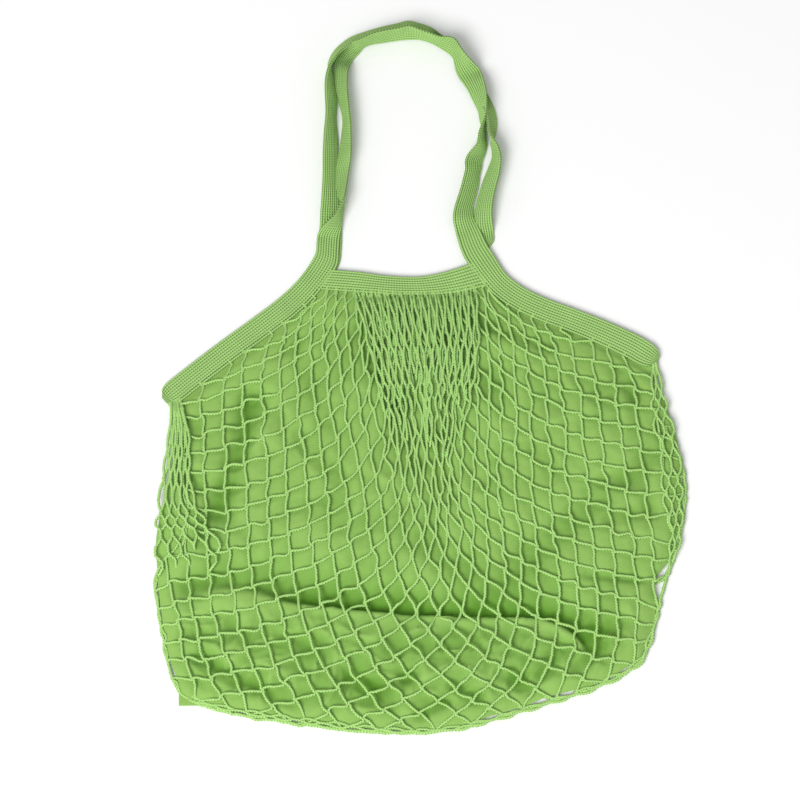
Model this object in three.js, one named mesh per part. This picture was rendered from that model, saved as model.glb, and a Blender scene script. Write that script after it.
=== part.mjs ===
// A mesh market bag with a cloth lining, lying flat and empty with its front up.
// Millimetres, +Z up: X runs across the bag and Y from its bottom to its two handles.
// The origin is the bottom centre of the whole bag's box.

import * as THREE from 'three';

const NET_COLOUR = 0xa5ce78;
const LINING_COLOUR = 0x8eb660;
const TAPE_COLOUR = 0x9bc275;

// Thicknesses and clearances
const TAPE = 2.2;
const GAP = 0.35;
const SHEET = 1.4;
const STRAND_HEIGHT = 1.8;
const STRAND_HALF_WIDTH = 1.2;
const EDGE_HEIGHT = 5;
const WALL = 2.2;

// How high the flat bag stands: it rounds up from its edge, and fills out low down
const RISE = 10;
const RISE_REACH = 28;
const BELLY = { x: 10, y: -165, height: 5, acrossX: 120, acrossY: 70 };
const CREASE = { left: [-115, -178], right: [125, -212], sag: -14, depth: 3, width: 14 };

// The net's mesh: two families of strands, each turning from steep to flat across the bag
const NET_TOP = { x: -9.1, y: 55.9 };
const FALLING_RIGHT = { side: 16.86, steep: 93, flat: 1.4, middle: 9.22, spread: 3.76, sink: 0 };
const FALLING_LEFT = { side: 18.04, steep: 96.3, flat: 20.4, middle: 8.17, spread: 1.9, sink: 3.4 };
const SINK_FROM = 15;
const SINK_EASE = 1.5;
const STEPS_BACK = 18;
const STEPS_ON = 26;
const EDGE_GAP = 0.5;
const CELL_MARGIN = 1;
const LARGEST_INSET = 0.55;
const SMALLEST_OPENING = 0.05;
const GATHERED = { from: -120, to: 0 };
const SPACING_ROUNDS = { edge: 60, mouth: 400 };
const EASING = { rounds: 40, share: 0.6, nearEdge: 0.1 };

// The lining inside the net
const LINING_INSET = 3.6;
const LINING_BELOW = 0.8;
const LINING_FLOOR = SHEET + 0.4;
const PUFF = 1.4;
const PUFF_SHARE = 0.12;

// Tapes: centre line and width, first the shoulders that both halves share
const SHOULDER_WIDTH = 20;
const LEFT_SHOULDER = [
  [-199, -31, 10], [-195.5, -22, 16], [-187, -12.5, 19], [-171, -0.5, 20],
  [-151.5, 15.5, 20], [-128.5, 33.5, 20], [-105.5, 52.5, 20], [-91, 67.5, 20],
];
const RIGHT_SHOULDER = [
  [64, 74, 20], [73, 65.5, 20], [85, 57.5, 20], [103, 48.5, 20],
  [129.5, 39.5, 20], [154.5, 31.5, 20], [171, 24, 20], [182.5, 16, 18], [187.5, 7, 14], [189.5, -1, 10],
];
const FRONT_HANDLE = [
  [-80.5, 82, 20], [-76.5, 97, 18], [-75, 111, 15.5], [-70.5, 123, 12], [-64, 136, 8],
  [-63, 155, 11], [-62, 174, 12], [-59, 194, 8], [-58.5, 216, 8], [-61, 238, 8],
  [-62, 256, 12], [-58, 274, 14], [-46.5, 285.5, 13], [-31, 290, 9], [-12, 293.5, 8],
  [4, 290.5, 8], [20, 286.5, 11], [31, 276, 12], [39.5, 259, 15.5], [48.5, 243, 14.5],
  [53, 222, 8.5], [52.5, 204, 9], [49.5, 189, 13], [41.5, 157, 15.5], [36, 134, 15.5],
  [38, 119, 16], [45, 103, 18], [53, 89, 19],
];
const BACK_HANDLE = [
  [-81, 82, 20], [-73.5, 97, 17], [-70, 110, 15.5], [-72, 123, 14], [-75, 147, 10],
  [-73, 170, 11], [-72, 200, 11.5], [-71.5, 236, 11], [-71.5, 256, 8], [-66, 277, 8],
  [-53, 288.5, 8], [-31, 296.5, 8], [-10, 301, 8], [8, 297.5, 8], [22, 288.5, 8],
  [33, 275, 9], [41, 257, 9], [50, 243, 9], [57, 229, 8], [61, 207, 8],
  [63, 186, 8], [61, 169, 9.5], [56.5, 151, 14], [54, 134, 17], [52, 116, 18],
  [51, 103, 18], [54.5, 90, 19],
];
const HANDLE_WIDTH = 18;
const FRONT_HANDLE_LEVEL = 2 * TAPE + 2 * GAP;
const TAPE_STEP = 9;

// Rim bands between the shoulders: upper and lower edge
const RIM_TOP = [
  [-68, 84.5], [-47, 82.5], [-31, 80], [-15, 78.5], [2, 78.5], [17, 81.5], [30, 85.5], [40.5, 89.5],
];
const RIM_BOTTOM = [
  [-77.5, 67], [-58, 65.5], [-37, 64], [-15, 62.5], [7, 62.5], [23, 63.5], [38, 66], [52, 69.5],
];
const RIM_STEPS = 14;

// Where the net's edge follows the shoulder tapes, in X
const EDGE_UNDER_LEFT = [-192, -79.5];
const EDGE_UNDER_RIGHT = [54.5, 181];

// The bag's side and bottom edges, from the right corner round to the left one
const HULL = [
  [193, -9], [197.5, -24], [207, -56], [211, -92], [208.5, -135], [200.5, -166], [191.5, -203],
  [175.5, -244], [139, -267], [85, -285], [25, -302.5], [-30, -304.5], [-100, -296.5], [-158, -286],
  [-187, -272], [-196, -248], [-205, -197], [-211, -150], [-207, -108], [-202, -70], [-199.5, -37],
];

// Plain helpers

function closedGeometry(positions, triangles) {
  const geometry = new THREE.BufferGeometry();
  geometry.setAttribute('position', new THREE.Float32BufferAttribute(positions.flat(), 3));
  geometry.setIndex(triangles.flat());
  geometry.computeVertexNormals();
  return geometry;
}

function fan(...corners) {
  const triangles = [];
  for (let k = 2; k < corners.length; k += 1) {
    triangles.push([corners[0], corners[k - 1], corners[k]]);
  }
  return triangles;
}

// Closed solid through a row of rings with the same number of corners
function loft(rings) {
  const count = rings[0].length;
  const at = (ring, corner) => ring * count + (corner % count);
  const triangles = [];
  for (let ring = 0; ring + 1 < rings.length; ring += 1) {
    for (let corner = 0; corner < count; corner += 1) {
      triangles.push(...fan(
        at(ring, corner), at(ring, corner + 1), at(ring + 1, corner + 1), at(ring + 1, corner),
      ));
    }
  }
  const corners = [...Array(count).keys()];
  triangles.push(...fan(...corners.map((corner) => at(0, corner)).reverse()));
  triangles.push(...fan(...corners.map((corner) => at(rings.length - 1, corner))));
  return closedGeometry(rings.flat(), triangles);
}

function clothMaterial(colour, roughness) {
  return new THREE.MeshStandardMaterial({ color: colour, roughness, metalness: 0 });
}

function solid(name, geometry, material) {
  const mesh = new THREE.Mesh(geometry, material);
  mesh.name = name;
  return mesh;
}

// Tapes

// Stations along a tape, close enough for its bends, from rows of x, y, width, level and thickness
function tapeStations(rows) {
  const curve = new THREE.CatmullRomCurve3(
    rows.map(([x, y, width, level]) => new THREE.Vector3(x, y, level)),
    false,
    'centripetal',
  );
  const stations = [];
  const spans = rows.length - 1;
  for (let span = 0; span < spans; span += 1) {
    const reach = Math.hypot(rows[span + 1][0] - rows[span][0], rows[span + 1][1] - rows[span][1]);
    const steps = Math.max(1, Math.round(reach / TAPE_STEP));
    const last = span === spans - 1 ? steps : steps - 1;
    for (let step = 0; step <= last; step += 1) {
      const share = step / steps;
      const along = (span + share) / spans;
      const centre = curve.getPoint(along);
      const heading = curve.getTangent(along);
      const across = new THREE.Vector2(heading.y, -heading.x).normalize();
      const width = THREE.MathUtils.lerp(rows[span][2], rows[span + 1][2], share);
      const thickness = THREE.MathUtils.lerp(rows[span][4], rows[span + 1][4], share);
      stations.push({ centre, across, width, thickness });
    }
  }
  return stations;
}

function tapeRing({ centre, across, width, thickness }) {
  const half = width / 2;
  const top = centre.z + thickness;
  const right = [centre.x + across.x * half, centre.y + across.y * half];
  const left = [centre.x - across.x * half, centre.y - across.y * half];
  return [[...left, centre.z], [...left, top], [...right, top], [...right, centre.z]];
}

function flatRows(rows, level) {
  return rows.map(([x, y, width]) => [x, y, width, level, TAPE]);
}

// Where a handle looks narrow it is folded along its length, so it is as much thicker
function foldedRows(rows, level) {
  const folds = (width) => THREE.MathUtils.clamp(HANDLE_WIDTH / width, 1, 2);
  return rows.map(([x, y, width]) => [x, y, width, level, TAPE * folds(width)]);
}

function tapeRows(handle, shoulderLevel, handleLevel) {
  return [
    ...flatRows(LEFT_SHOULDER, shoulderLevel),
    ...foldedRows(handle, handleLevel),
    ...flatRows(RIGHT_SHOULDER, shoulderLevel),
  ];
}

function tapeGeometry(rows) {
  return loft(tapeStations(rows).map(tapeRing));
}

function flatCurve(points) {
  return new THREE.CatmullRomCurve3(points.map(([x, y]) => new THREE.Vector3(x, y, 0)), false, 'centripetal');
}

function rimGeometry(level) {
  const top = flatCurve(RIM_TOP);
  const bottom = flatCurve(RIM_BOTTOM);
  const rings = [];
  for (let step = 0; step <= RIM_STEPS; step += 1) {
    const upper = top.getPoint(step / RIM_STEPS);
    const lower = bottom.getPoint(step / RIM_STEPS);
    rings.push([
      [upper.x, upper.y, level], [upper.x, upper.y, level + TAPE],
      [lower.x, lower.y, level + TAPE], [lower.x, lower.y, level],
    ]);
  }
  return loft(rings);
}

// The net's outline

// A line a little below a shoulder tape's lower edge, from right to left
function belowTape(shoulder) {
  const stations = tapeStations(flatRows(shoulder, 0));
  const reach = SHOULDER_WIDTH / 2 + EDGE_GAP;
  const points = stations.map(({ centre, across }) => (
    new THREE.Vector2(centre.x + across.x * reach, centre.y + across.y * reach)
  ));
  return points.reverse();
}

// Counter-clockwise from the right tip: along the shoulders and rim to the left, then round the hull
function bagOutline() {
  const within = ([low, high]) => (point) => point.x > low && point.x < high;
  const rightEdge = belowTape(RIGHT_SHOULDER).filter(within(EDGE_UNDER_RIGHT));
  const leftEdge = belowTape(LEFT_SHOULDER).filter(within(EDGE_UNDER_LEFT));
  const rimEdge = flatCurve(RIM_BOTTOM).getPoints(RIM_STEPS)
    .map((point) => new THREE.Vector2(point.x, point.y - EDGE_GAP))
    .reverse();
  const hull = flatCurve(HULL).getPoints(HULL.length * 6)
    .map((point) => new THREE.Vector2(point.x, point.y))
    .reverse();
  return [...rightEdge, ...rimEdge, ...leftEdge, ...hull];
}

const OUTLINE = bagOutline();
const MIDDLE = new THREE.Vector2(0, -100);
const MOUTH = { left: RIM_BOTTOM[0][0], right: RIM_BOTTOM[RIM_BOTTOM.length - 1][0], above: 50 };

function isAtMouth(point) {
  return point.y > MOUTH.above && point.x > MOUTH.left && point.x < MOUTH.right;
}

const OUTLINE_LENGTHS = OUTLINE.reduce((lengths, point, k) => {
  const next = OUTLINE[(k + 1) % OUTLINE.length];
  lengths.push(lengths[k] + point.distanceTo(next));
  return lengths;
}, [0]);
const PERIMETER = OUTLINE_LENGTHS[OUTLINE.length];

function nearestOnOutline(x, y) {
  let best = { distance: Infinity, along: 0 };
  for (let k = 0; k < OUTLINE.length; k += 1) {
    const from = OUTLINE[k];
    const to = OUTLINE[(k + 1) % OUTLINE.length];
    const reach = to.clone().sub(from);
    const offset = new THREE.Vector2(x, y).sub(from);
    const share = THREE.MathUtils.clamp(offset.dot(reach) / reach.lengthSq(), 0, 1);
    const distance = offset.distanceTo(reach.clone().multiplyScalar(share));
    if (distance < best.distance) {
      best = { distance, along: OUTLINE_LENGTHS[k] + share * reach.length() };
    }
  }
  return best;
}

function pointAlong(along) {
  const wanted = ((along % PERIMETER) + PERIMETER) % PERIMETER;
  let k = 0;
  while (OUTLINE_LENGTHS[k + 1] < wanted) k += 1;
  const share = (wanted - OUTLINE_LENGTHS[k]) / (OUTLINE_LENGTHS[k + 1] - OUTLINE_LENGTHS[k]);
  const next = OUTLINE[(k + 1) % OUTLINE.length];
  return OUTLINE[k].clone().lerp(next, share);
}

function isInside(x, y) {
  let inside = false;
  for (let k = 0; k < OUTLINE.length; k += 1) {
    const from = OUTLINE[k];
    const to = OUTLINE[(k + 1) % OUTLINE.length];
    const crosses = (from.y > y) !== (to.y > y);
    if (crosses && x < from.x + ((y - from.y) / (to.y - from.y)) * (to.x - from.x)) inside = !inside;
  }
  return inside;
}

function depthInside(x, y) {
  const { distance } = nearestOnOutline(x, y);
  return isInside(x, y) ? distance : -distance;
}

// How high the front of the net stands over a point
function frontHeight(x, y) {
  const depth = Math.max(0, depthInside(x, y));
  const inward = 1 - Math.exp(-depth / RISE_REACH);
  const bellyX = (x - BELLY.x) / BELLY.acrossX;
  const bellyY = (y - BELLY.y) / BELLY.acrossY;
  const belly = BELLY.height * Math.exp(-bellyX * bellyX - bellyY * bellyY);
  const [leftX, leftY] = CREASE.left;
  const [rightX, rightY] = CREASE.right;
  const share = THREE.MathUtils.clamp((x - leftX) / (rightX - leftX), 0, 1);
  const creaseY = THREE.MathUtils.lerp(leftY, rightY, share) + CREASE.sag * 4 * share * (1 - share);
  const creaseX = Math.max(0, leftX - x, x - rightX);
  const away = Math.hypot(y - creaseY, creaseX) / CREASE.width;
  const crease = CREASE.depth * Math.exp(-away * away);
  return EDGE_HEIGHT + inward * (RISE + belly - crease);
}

// The net's mesh

// How steep a strand is at a step: a smooth turn from steep to flat, then a slow sinking further out
function strandAngle(step, family) {
  const turned = 1 / (1 + Math.exp((step - family.middle) / family.spread));
  const beyond = SINK_EASE * Math.log1p(Math.exp((step - SINK_FROM) / SINK_EASE));
  return THREE.MathUtils.degToRad(
    family.flat + (family.steep - family.flat) * turned - family.sink * beyond,
  );
}

// Where the corner of the mesh is after so many steps along one family, from the top
function strandOffsets(family, towards) {
  const offsets = new Map([[0, new THREE.Vector2(0, 0)]]);
  const stepOf = (step) => {
    const angle = strandAngle(step + 0.5, family);
    return new THREE.Vector2(towards * Math.cos(angle), -Math.sin(angle)).multiplyScalar(family.side);
  };
  for (let step = 0; step < STEPS_ON; step += 1) {
    offsets.set(step + 1, offsets.get(step).clone().add(stepOf(step)));
  }
  for (let step = -1; step >= -STEPS_BACK; step -= 1) {
    offsets.set(step, offsets.get(step + 1).clone().sub(stepOf(step)));
  }
  return offsets;
}

// Cells as index pairs, each with its four corners counter-clockwise
function cellCorners(i, j) {
  return [[i, j], [i, j + 1], [i + 1, j + 1], [i + 1, j]];
}

function keyOf([i, j]) {
  return `${i},${j}`;
}

function cellsInside(place) {
  const cells = new Map();
  for (let i = -STEPS_BACK; i < STEPS_ON; i += 1) {
    for (let j = -STEPS_BACK; j < STEPS_ON; j += 1) {
      const corners = cellCorners(i, j).map(place);
      const x = corners.reduce((sum, point) => sum + point.x, 0) / 4;
      const y = corners.reduce((sum, point) => sum + point.y, 0) / 4;
      if (depthInside(x, y) > CELL_MARGIN) cells.set(keyOf([i, j]), [i, j]);
    }
  }
  return cells;
}

// Drops cells that hang on by a corner or one side, until none is left
function withoutLooseCells(cells) {
  const kept = new Map(cells);
  let dropped = true;
  while (dropped) {
    dropped = false;
    for (const [key, [i, j]] of kept) {
      const beside = [[i + 1, j], [i - 1, j], [i, j + 1], [i, j - 1]].filter((cell) => kept.has(keyOf(cell)));
      const opposite = beside.length === 2
        && (beside[0][0] + beside[1][0] === 2 * i) && (beside[0][1] + beside[1][1] === 2 * j);
      if (beside.length < 2 || opposite) {
        kept.delete(key);
        dropped = true;
      }
    }
  }
  return kept;
}

// The net as a graph: corner points, cells, and the loop of corners round its edge
function netGraph() {
  const right = strandOffsets(FALLING_RIGHT, 1);
  const left = strandOffsets(FALLING_LEFT, -1);
  const place = ([i, j]) => new THREE.Vector2(NET_TOP.x, NET_TOP.y).add(right.get(i)).add(left.get(j));
  const cells = [...withoutLooseCells(cellsInside(place)).values()];
  const numberOf = new Map();
  const points = [];
  const faces = cells.map(([i, j]) => cellCorners(i, j).map((corner) => {
    const key = keyOf(corner);
    if (!numberOf.has(key)) {
      numberOf.set(key, points.length);
      points.push(place(corner));
    }
    return numberOf.get(key);
  }));
  const faceOfEdge = new Map();
  faces.forEach((face, f) => {
    face.forEach((from, k) => faceOfEdge.set(`${from}>${face[(k + 1) % 4]}`, f));
  });
  const nextOnEdge = new Map();
  for (const edge of faceOfEdge.keys()) {
    const [from, to] = edge.split('>').map(Number);
    if (!faceOfEdge.has(`${to}>${from}`)) nextOnEdge.set(from, to);
  }
  const first = nextOnEdge.keys().next().value;
  const loop = [first];
  while (nextOnEdge.get(loop[loop.length - 1]) !== first) loop.push(nextOnEdge.get(loop[loop.length - 1]));
  return { points, faces, faceOfEdge, loop };
}

// Moves the edge corners onto the outline, evenly spaced, and eases the corners next to them
// and those gathered under the rim
function fitToOutline(graph) {
  const { points, faces, loop } = graph;
  const alongs = loop.map((n) => nearestOnOutline(points[n].x, points[n].y).along);
  for (let k = 1; k < alongs.length; k += 1) {
    while (alongs[k] < alongs[k - 1] - PERIMETER / 2) alongs[k] += PERIMETER;
    while (alongs[k] > alongs[k - 1] + PERIMETER / 2) alongs[k] -= PERIMETER;
  }
  alongs.sort((one, other) => one - other);
  for (let round = 0; round < SPACING_ROUNDS.mouth; round += 1) {
    const before = [...alongs];
    for (let k = 0; k < alongs.length; k += 1) {
      if (round >= SPACING_ROUNDS.edge && !isAtMouth(pointAlong(before[k]))) continue;
      const last = k === 0 ? before[alongs.length - 1] - PERIMETER : before[k - 1];
      const next = k === alongs.length - 1 ? before[0] + PERIMETER : before[k + 1];
      alongs[k] = 0.5 * before[k] + 0.25 * (last + next);
    }
  }
  const onEdge = new Set(loop);
  loop.forEach((n, k) => points[n].copy(pointAlong(alongs[k])));
  const neighbours = points.map(() => new Set());
  faces.forEach((face) => face.forEach((from, k) => {
    neighbours[from].add(face[(k + 1) % 4]);
    neighbours[face[(k + 1) % 4]].add(from);
  }));
  const easing = points.map((point, n) => {
    if (onEdge.has(n)) return 0;
    const nearEdge = [...neighbours[n]].some((m) => onEdge.has(m)) ? EASING.nearEdge : 0;
    return Math.max(nearEdge, THREE.MathUtils.smoothstep(point.y, GATHERED.from, GATHERED.to));
  });
  for (let round = 0; round < EASING.rounds; round += 1) {
    points.forEach((point, n) => {
      const mean = new THREE.Vector2();
      neighbours[n].forEach((m) => mean.addScaledVector(points[m], 1 / neighbours[n].size));
      point.lerp(mean, EASING.share * easing[n]);
    });
  }
  return graph;
}

// Where a strand's inner foot stands in one corner of a cell, and how far in that is
function insetCorner(points, face, corner) {
  const here = points[face[corner]];
  const centre = face.reduce((sum, n) => sum.addScaledVector(points[n], 0.25), new THREE.Vector2());
  const inward = centre.clone().sub(here);
  const reach = inward.length();
  inward.normalize();
  const openness = [face[(corner + 1) % 4], face[(corner + 3) % 4]].map((n) => (
    Math.abs(points[n].clone().sub(here).normalize().cross(inward))
  ));
  const sharpest = Math.max(SMALLEST_OPENING, Math.min(...openness));
  const inset = Math.min(STRAND_HALF_WIDTH / sharpest, LARGEST_INSET * reach);
  return { place: here.clone().addScaledVector(inward, inset), share: inset / reach };
}

// Points on the outline moved inwards
function insetLoop(points, loop, inset) {
  return loop.map((n, k) => {
    const last = points[loop[(k + loop.length - 1) % loop.length]];
    const next = points[loop[(k + 1) % loop.length]];
    const heading = next.clone().sub(last).normalize();
    return points[n].clone().add(new THREE.Vector2(-heading.y, heading.x).multiplyScalar(inset));
  });
}

// Fills a ring of corners from one middle corner
function fillRing(ring, middle) {
  return ring.map((corner, k) => [corner, ring[(k + 1) % ring.length], middle]);
}

// Front of open mesh and back sheet in one: they meet round the sides and bottom, and part at the mouth
function netGeometry({ points, faces, faceOfEdge, loop }, heights) {
  const positions = [];
  const triangles = [];
  const add = (point, z) => positions.push([point.x, point.y, z]) - 1;
  const ridge = points.map((point, n) => add(point, heights[n]));
  const foot = faces.map((face) => face.map((n, corner) => {
    const { place, share } = insetCorner(points, face, corner);
    const middle = face.reduce((sum, m) => sum + heights[m] / 4, 0);
    return add(place, THREE.MathUtils.lerp(heights[n], middle, share) - STRAND_HEIGHT);
  }));
  const footOf = (f, n) => foot[f][faces[f].indexOf(n)];
  const nextIn = (f, n) => faces[f][(faces[f].indexOf(n) + 1) % 4];
  const acrossFrom = (f, n) => faceOfEdge.get(`${nextIn(f, n)}>${n}`);

  faces.forEach((face, f) => face.forEach((from, corner) => {
    const to = face[(corner + 1) % 4];
    triangles.push(...fan(ridge[from], ridge[to], footOf(f, to), footOf(f, from)));
    const g = faceOfEdge.get(`${to}>${from}`);
    if (g !== undefined && from < to) {
      triangles.push(...fan(footOf(f, from), footOf(f, to), footOf(g, to), footOf(g, from)));
    }
  }));

  const onEdge = new Set(loop);
  const firstFace = new Map();
  faces.forEach((face, f) => face.forEach((n) => firstFace.set(n, f)));
  points.forEach((point, n) => {
    if (onEdge.has(n)) return;
    const around = [firstFace.get(n)];
    while (acrossFrom(around[around.length - 1], n) !== around[0]) {
      around.push(acrossFrom(around[around.length - 1], n));
    }
    triangles.push(...fan(...around.map((f) => footOf(f, n))));
  });

  const count = loop.length;
  const isOpen = loop.map((n, k) => {
    const next = loop[(k + 1) % count];
    return isAtMouth(points[n].clone().lerp(points[next], 0.5));
  });
  const innerTop = insetLoop(points, loop, WALL).map((point) => add(point, SHEET));
  const outerLow = loop.map((n) => add(points[n], 0));
  const opensAt = (k) => isOpen[k] || isOpen[(k + count - 1) % count];
  const underRidge = loop.map((n, k) => (opensAt(k) ? add(points[n], heights[n] - STRAND_HEIGHT) : null));
  const sheetTop = loop.map((n, k) => (opensAt(k) ? add(points[n], SHEET) : null));

  const topRing = [];
  loop.forEach((from, k) => {
    const next = (k + 1) % count;
    const to = loop[next];
    const openBefore = isOpen[(k + count - 1) % count];
    const openAfter = isOpen[k];
    const cameBy = faceOfEdge.get(`${loop[(k + count - 1) % count]}>${from}`);
    const goesBy = faceOfEdge.get(`${from}>${to}`);
    const feet = [cameBy];
    while (feet[feet.length - 1] !== goesBy) feet.push(acrossFrom(feet[feet.length - 1], from));
    const below = openBefore && openAfter ? underRidge[k] : innerTop[k];
    for (let step = 1; step < feet.length; step += 1) {
      triangles.push([footOf(feet[step - 1], from), footOf(feet[step], from), below]);
    }

    if (openAfter) {
      triangles.push(...fan(footOf(goesBy, from), footOf(goesBy, to), underRidge[next], underRidge[k]));
      triangles.push(...fan(ridge[to], ridge[from], underRidge[k], underRidge[next]));
      triangles.push(...fan(sheetTop[next], sheetTop[k], outerLow[k], outerLow[next]));
    } else {
      triangles.push(...fan(footOf(goesBy, from), footOf(goesBy, to), innerTop[next], innerTop[k]));
      const startSide = openBefore ? [underRidge[k], sheetTop[k]] : [];
      const endSide = isOpen[next] ? [sheetTop[next], underRidge[next]] : [];
      triangles.push(...wallSide(ridge[to], ridge[from], startSide, outerLow[k], outerLow[next], endSide));
    }

    if (!openBefore && openAfter) {
      triangles.push(...fan(underRidge[k], sheetTop[k], innerTop[k], footOf(goesBy, from)));
      topRing.push(innerTop[k], sheetTop[k]);
    } else if (openBefore && !openAfter) {
      triangles.push(...fan(sheetTop[k], underRidge[k], footOf(cameBy, from), innerTop[k]));
      topRing.push(sheetTop[k], innerTop[k]);
    } else {
      topRing.push(openAfter ? sheetTop[k] : innerTop[k]);
    }
  });

  triangles.push(...fillRing(topRing, add(MIDDLE, SHEET)));
  triangles.push(...fillRing([...outerLow].reverse(), add(MIDDLE, 0)));
  return closedGeometry(positions, triangles);
}

// One side of the edge wall, where an end at the mouth has extra corners on its upright
function wallSide(ridgeTo, ridgeFrom, startSide, lowFrom, lowTo, endSide) {
  if (startSide.length > 0) return fan(ridgeTo, ridgeFrom, ...startSide, lowFrom, lowTo);
  return fan(lowFrom, lowTo, ...endSide, ridgeTo, ridgeFrom);
}

// The lining is one closed pillow under the net, a little fuller inside each cell
function liningGeometry({ points, faces, loop }, heights) {
  const positions = [];
  const triangles = [];
  const add = (point, z) => positions.push([point.x, point.y, z]) - 1;
  const inset = insetLoop(points, loop, LINING_INSET);
  const edgeNumber = new Map(loop.map((n, k) => [n, k]));
  const places = points.map((point, n) => (edgeNumber.has(n) ? inset[edgeNumber.get(n)] : point));
  const tops = heights.map((height) => height - STRAND_HEIGHT - LINING_BELOW);
  const top = places.map((point, n) => add(point, tops[n]));
  faces.forEach((face) => {
    const centre = face.reduce((sum, n) => sum.addScaledVector(places[n], 0.25), new THREE.Vector2());
    const narrow = Math.min(
      places[face[0]].distanceTo(places[face[2]]),
      places[face[1]].distanceTo(places[face[3]]),
    );
    const level = face.reduce((sum, n) => sum + tops[n] / 4, 0);
    const middle = add(centre, level + Math.min(PUFF, PUFF_SHARE * narrow));
    face.forEach((from, corner) => triangles.push([top[from], top[face[(corner + 1) % 4]], middle]));
  });
  const low = inset.map((point) => add(point, LINING_FLOOR));
  loop.forEach((from, k) => {
    const next = (k + 1) % loop.length;
    triangles.push(...fan(top[loop[next]], top[from], low[k], low[next]));
  });
  triangles.push(...fillRing([...low].reverse(), add(MIDDLE, LINING_FLOOR)));
  return closedGeometry(positions, triangles);
}

// The bag

const graph = fitToOutline(netGraph());
const heights = graph.points.map((point) => frontHeight(point.x, point.y));
const edgeCorners = new Set(graph.loop);
graph.points.forEach((point, n) => {
  if (edgeCorners.has(n)) heights[n] = EDGE_HEIGHT;
});

const group = new THREE.Group();
group.add(solid('net', netGeometry(graph, heights), clothMaterial(NET_COLOUR, 0.8)));
group.add(solid('lining', liningGeometry(graph, heights), clothMaterial(LINING_COLOUR, 0.9)));
group.add(solid(
  'handle_front',
  tapeGeometry(tapeRows(FRONT_HANDLE, TAPE + GAP, FRONT_HANDLE_LEVEL)),
  clothMaterial(TAPE_COLOUR, 0.85),
));
group.add(solid('handle_back', tapeGeometry(tapeRows(BACK_HANDLE, 0, 0)), clothMaterial(TAPE_COLOUR, 0.85)));
group.add(solid('rim_front', rimGeometry(TAPE + GAP), clothMaterial(TAPE_COLOUR, 0.85)));
group.add(solid('rim_back', rimGeometry(0), clothMaterial(TAPE_COLOUR, 0.85)));

export default group;
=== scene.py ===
"""A mesh market bag: a knotless knitted net, a cloth lining inside it, and knitted tapes for its
shoulders, handles and rim. It lies flat and empty on a pale floor with its front up.

The file is laid out as an add-on and is run as a script. Lengths in the tables are millimetres,
made metres by MM; everything else is in metres. X runs across the bag, Y from its bottom to its
handles, and Z up out of its front.
"""

import bpy
import numpy as np
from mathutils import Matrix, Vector


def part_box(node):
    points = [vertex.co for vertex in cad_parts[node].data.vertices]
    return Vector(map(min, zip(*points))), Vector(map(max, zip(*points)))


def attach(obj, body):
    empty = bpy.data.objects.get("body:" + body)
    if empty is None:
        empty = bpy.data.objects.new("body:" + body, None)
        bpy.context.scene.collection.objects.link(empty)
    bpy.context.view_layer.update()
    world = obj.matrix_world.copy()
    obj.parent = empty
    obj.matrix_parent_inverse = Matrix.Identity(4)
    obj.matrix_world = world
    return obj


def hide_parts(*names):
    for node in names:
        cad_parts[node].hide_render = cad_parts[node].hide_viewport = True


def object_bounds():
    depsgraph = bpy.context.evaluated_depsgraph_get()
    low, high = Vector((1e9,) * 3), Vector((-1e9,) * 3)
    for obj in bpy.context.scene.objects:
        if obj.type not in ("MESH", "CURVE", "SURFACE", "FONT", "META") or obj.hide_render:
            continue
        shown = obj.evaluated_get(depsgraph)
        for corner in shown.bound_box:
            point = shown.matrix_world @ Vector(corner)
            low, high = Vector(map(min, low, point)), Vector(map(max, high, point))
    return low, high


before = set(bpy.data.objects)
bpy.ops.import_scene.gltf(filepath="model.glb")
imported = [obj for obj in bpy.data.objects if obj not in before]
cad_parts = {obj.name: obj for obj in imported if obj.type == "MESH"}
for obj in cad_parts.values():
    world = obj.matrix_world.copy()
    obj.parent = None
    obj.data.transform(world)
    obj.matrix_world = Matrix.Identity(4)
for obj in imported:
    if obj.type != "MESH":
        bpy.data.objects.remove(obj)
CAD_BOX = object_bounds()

bl_info = {
    "name": "Mesh Market Bag",
    "version": (1, 0, 0),
    "blender": (4, 5, 0),
    "location": "View3D > Sidebar > Bag",
    "description": "Builds a lined net bag with knitted tape handles",
    "category": "Add Mesh",
}

MM = 0.001

# Degrees between two faces from which their edge is shaded sharp
SHARP_FROM = 75


def millimetres(rows):
    """The rows of a table as an array in metres."""
    return np.array(rows, float) * MM


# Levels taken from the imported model
BACK_TAPE_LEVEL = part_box("rim_back")[0].z
FRONT_TAPE_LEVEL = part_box("rim_front")[0].z
TAPE_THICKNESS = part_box("rim_back")[1].z - BACK_TAPE_LEVEL

# How high the front of the net stands
EDGE_HEIGHT = 5.0 * MM
RISE = 10.0 * MM
RISE_REACH = 28.0 * MM
BELLY = {"x": 10 * MM, "y": -165 * MM, "height": 5 * MM, "across_x": 120 * MM, "across_y": 70 * MM}
CREASE = {"left": (-115 * MM, -178 * MM), "right": (125 * MM, -212 * MM), "sag": -14 * MM,
          "depth": 3 * MM, "width": 14 * MM}

# The net's mesh: two families of strands, each turning from steep to flat across the bag. Angles are
# in degrees below level, and the middle and spread of the turn in steps from the top corner
NET_TOP = millimetres([-9.1, 55.9])
FALLING_RIGHT = {"side": 16.86 * MM, "flat_side": 15.8 * MM, "steep": 93, "flat": 1.4, "middle": 9.22,
                 "spread": 3.76, "sink": 0}
FALLING_LEFT = {"side": 18.04 * MM, "flat_side": 16.8 * MM, "steep": 96.3, "flat": 20.4, "middle": 8.17,
                "spread": 1.9, "sink": 3.4}
SINK_FROM = 15
SINK_EASE = 1.5
STEPS_BACK = 18
STEPS_ON = 28

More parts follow.
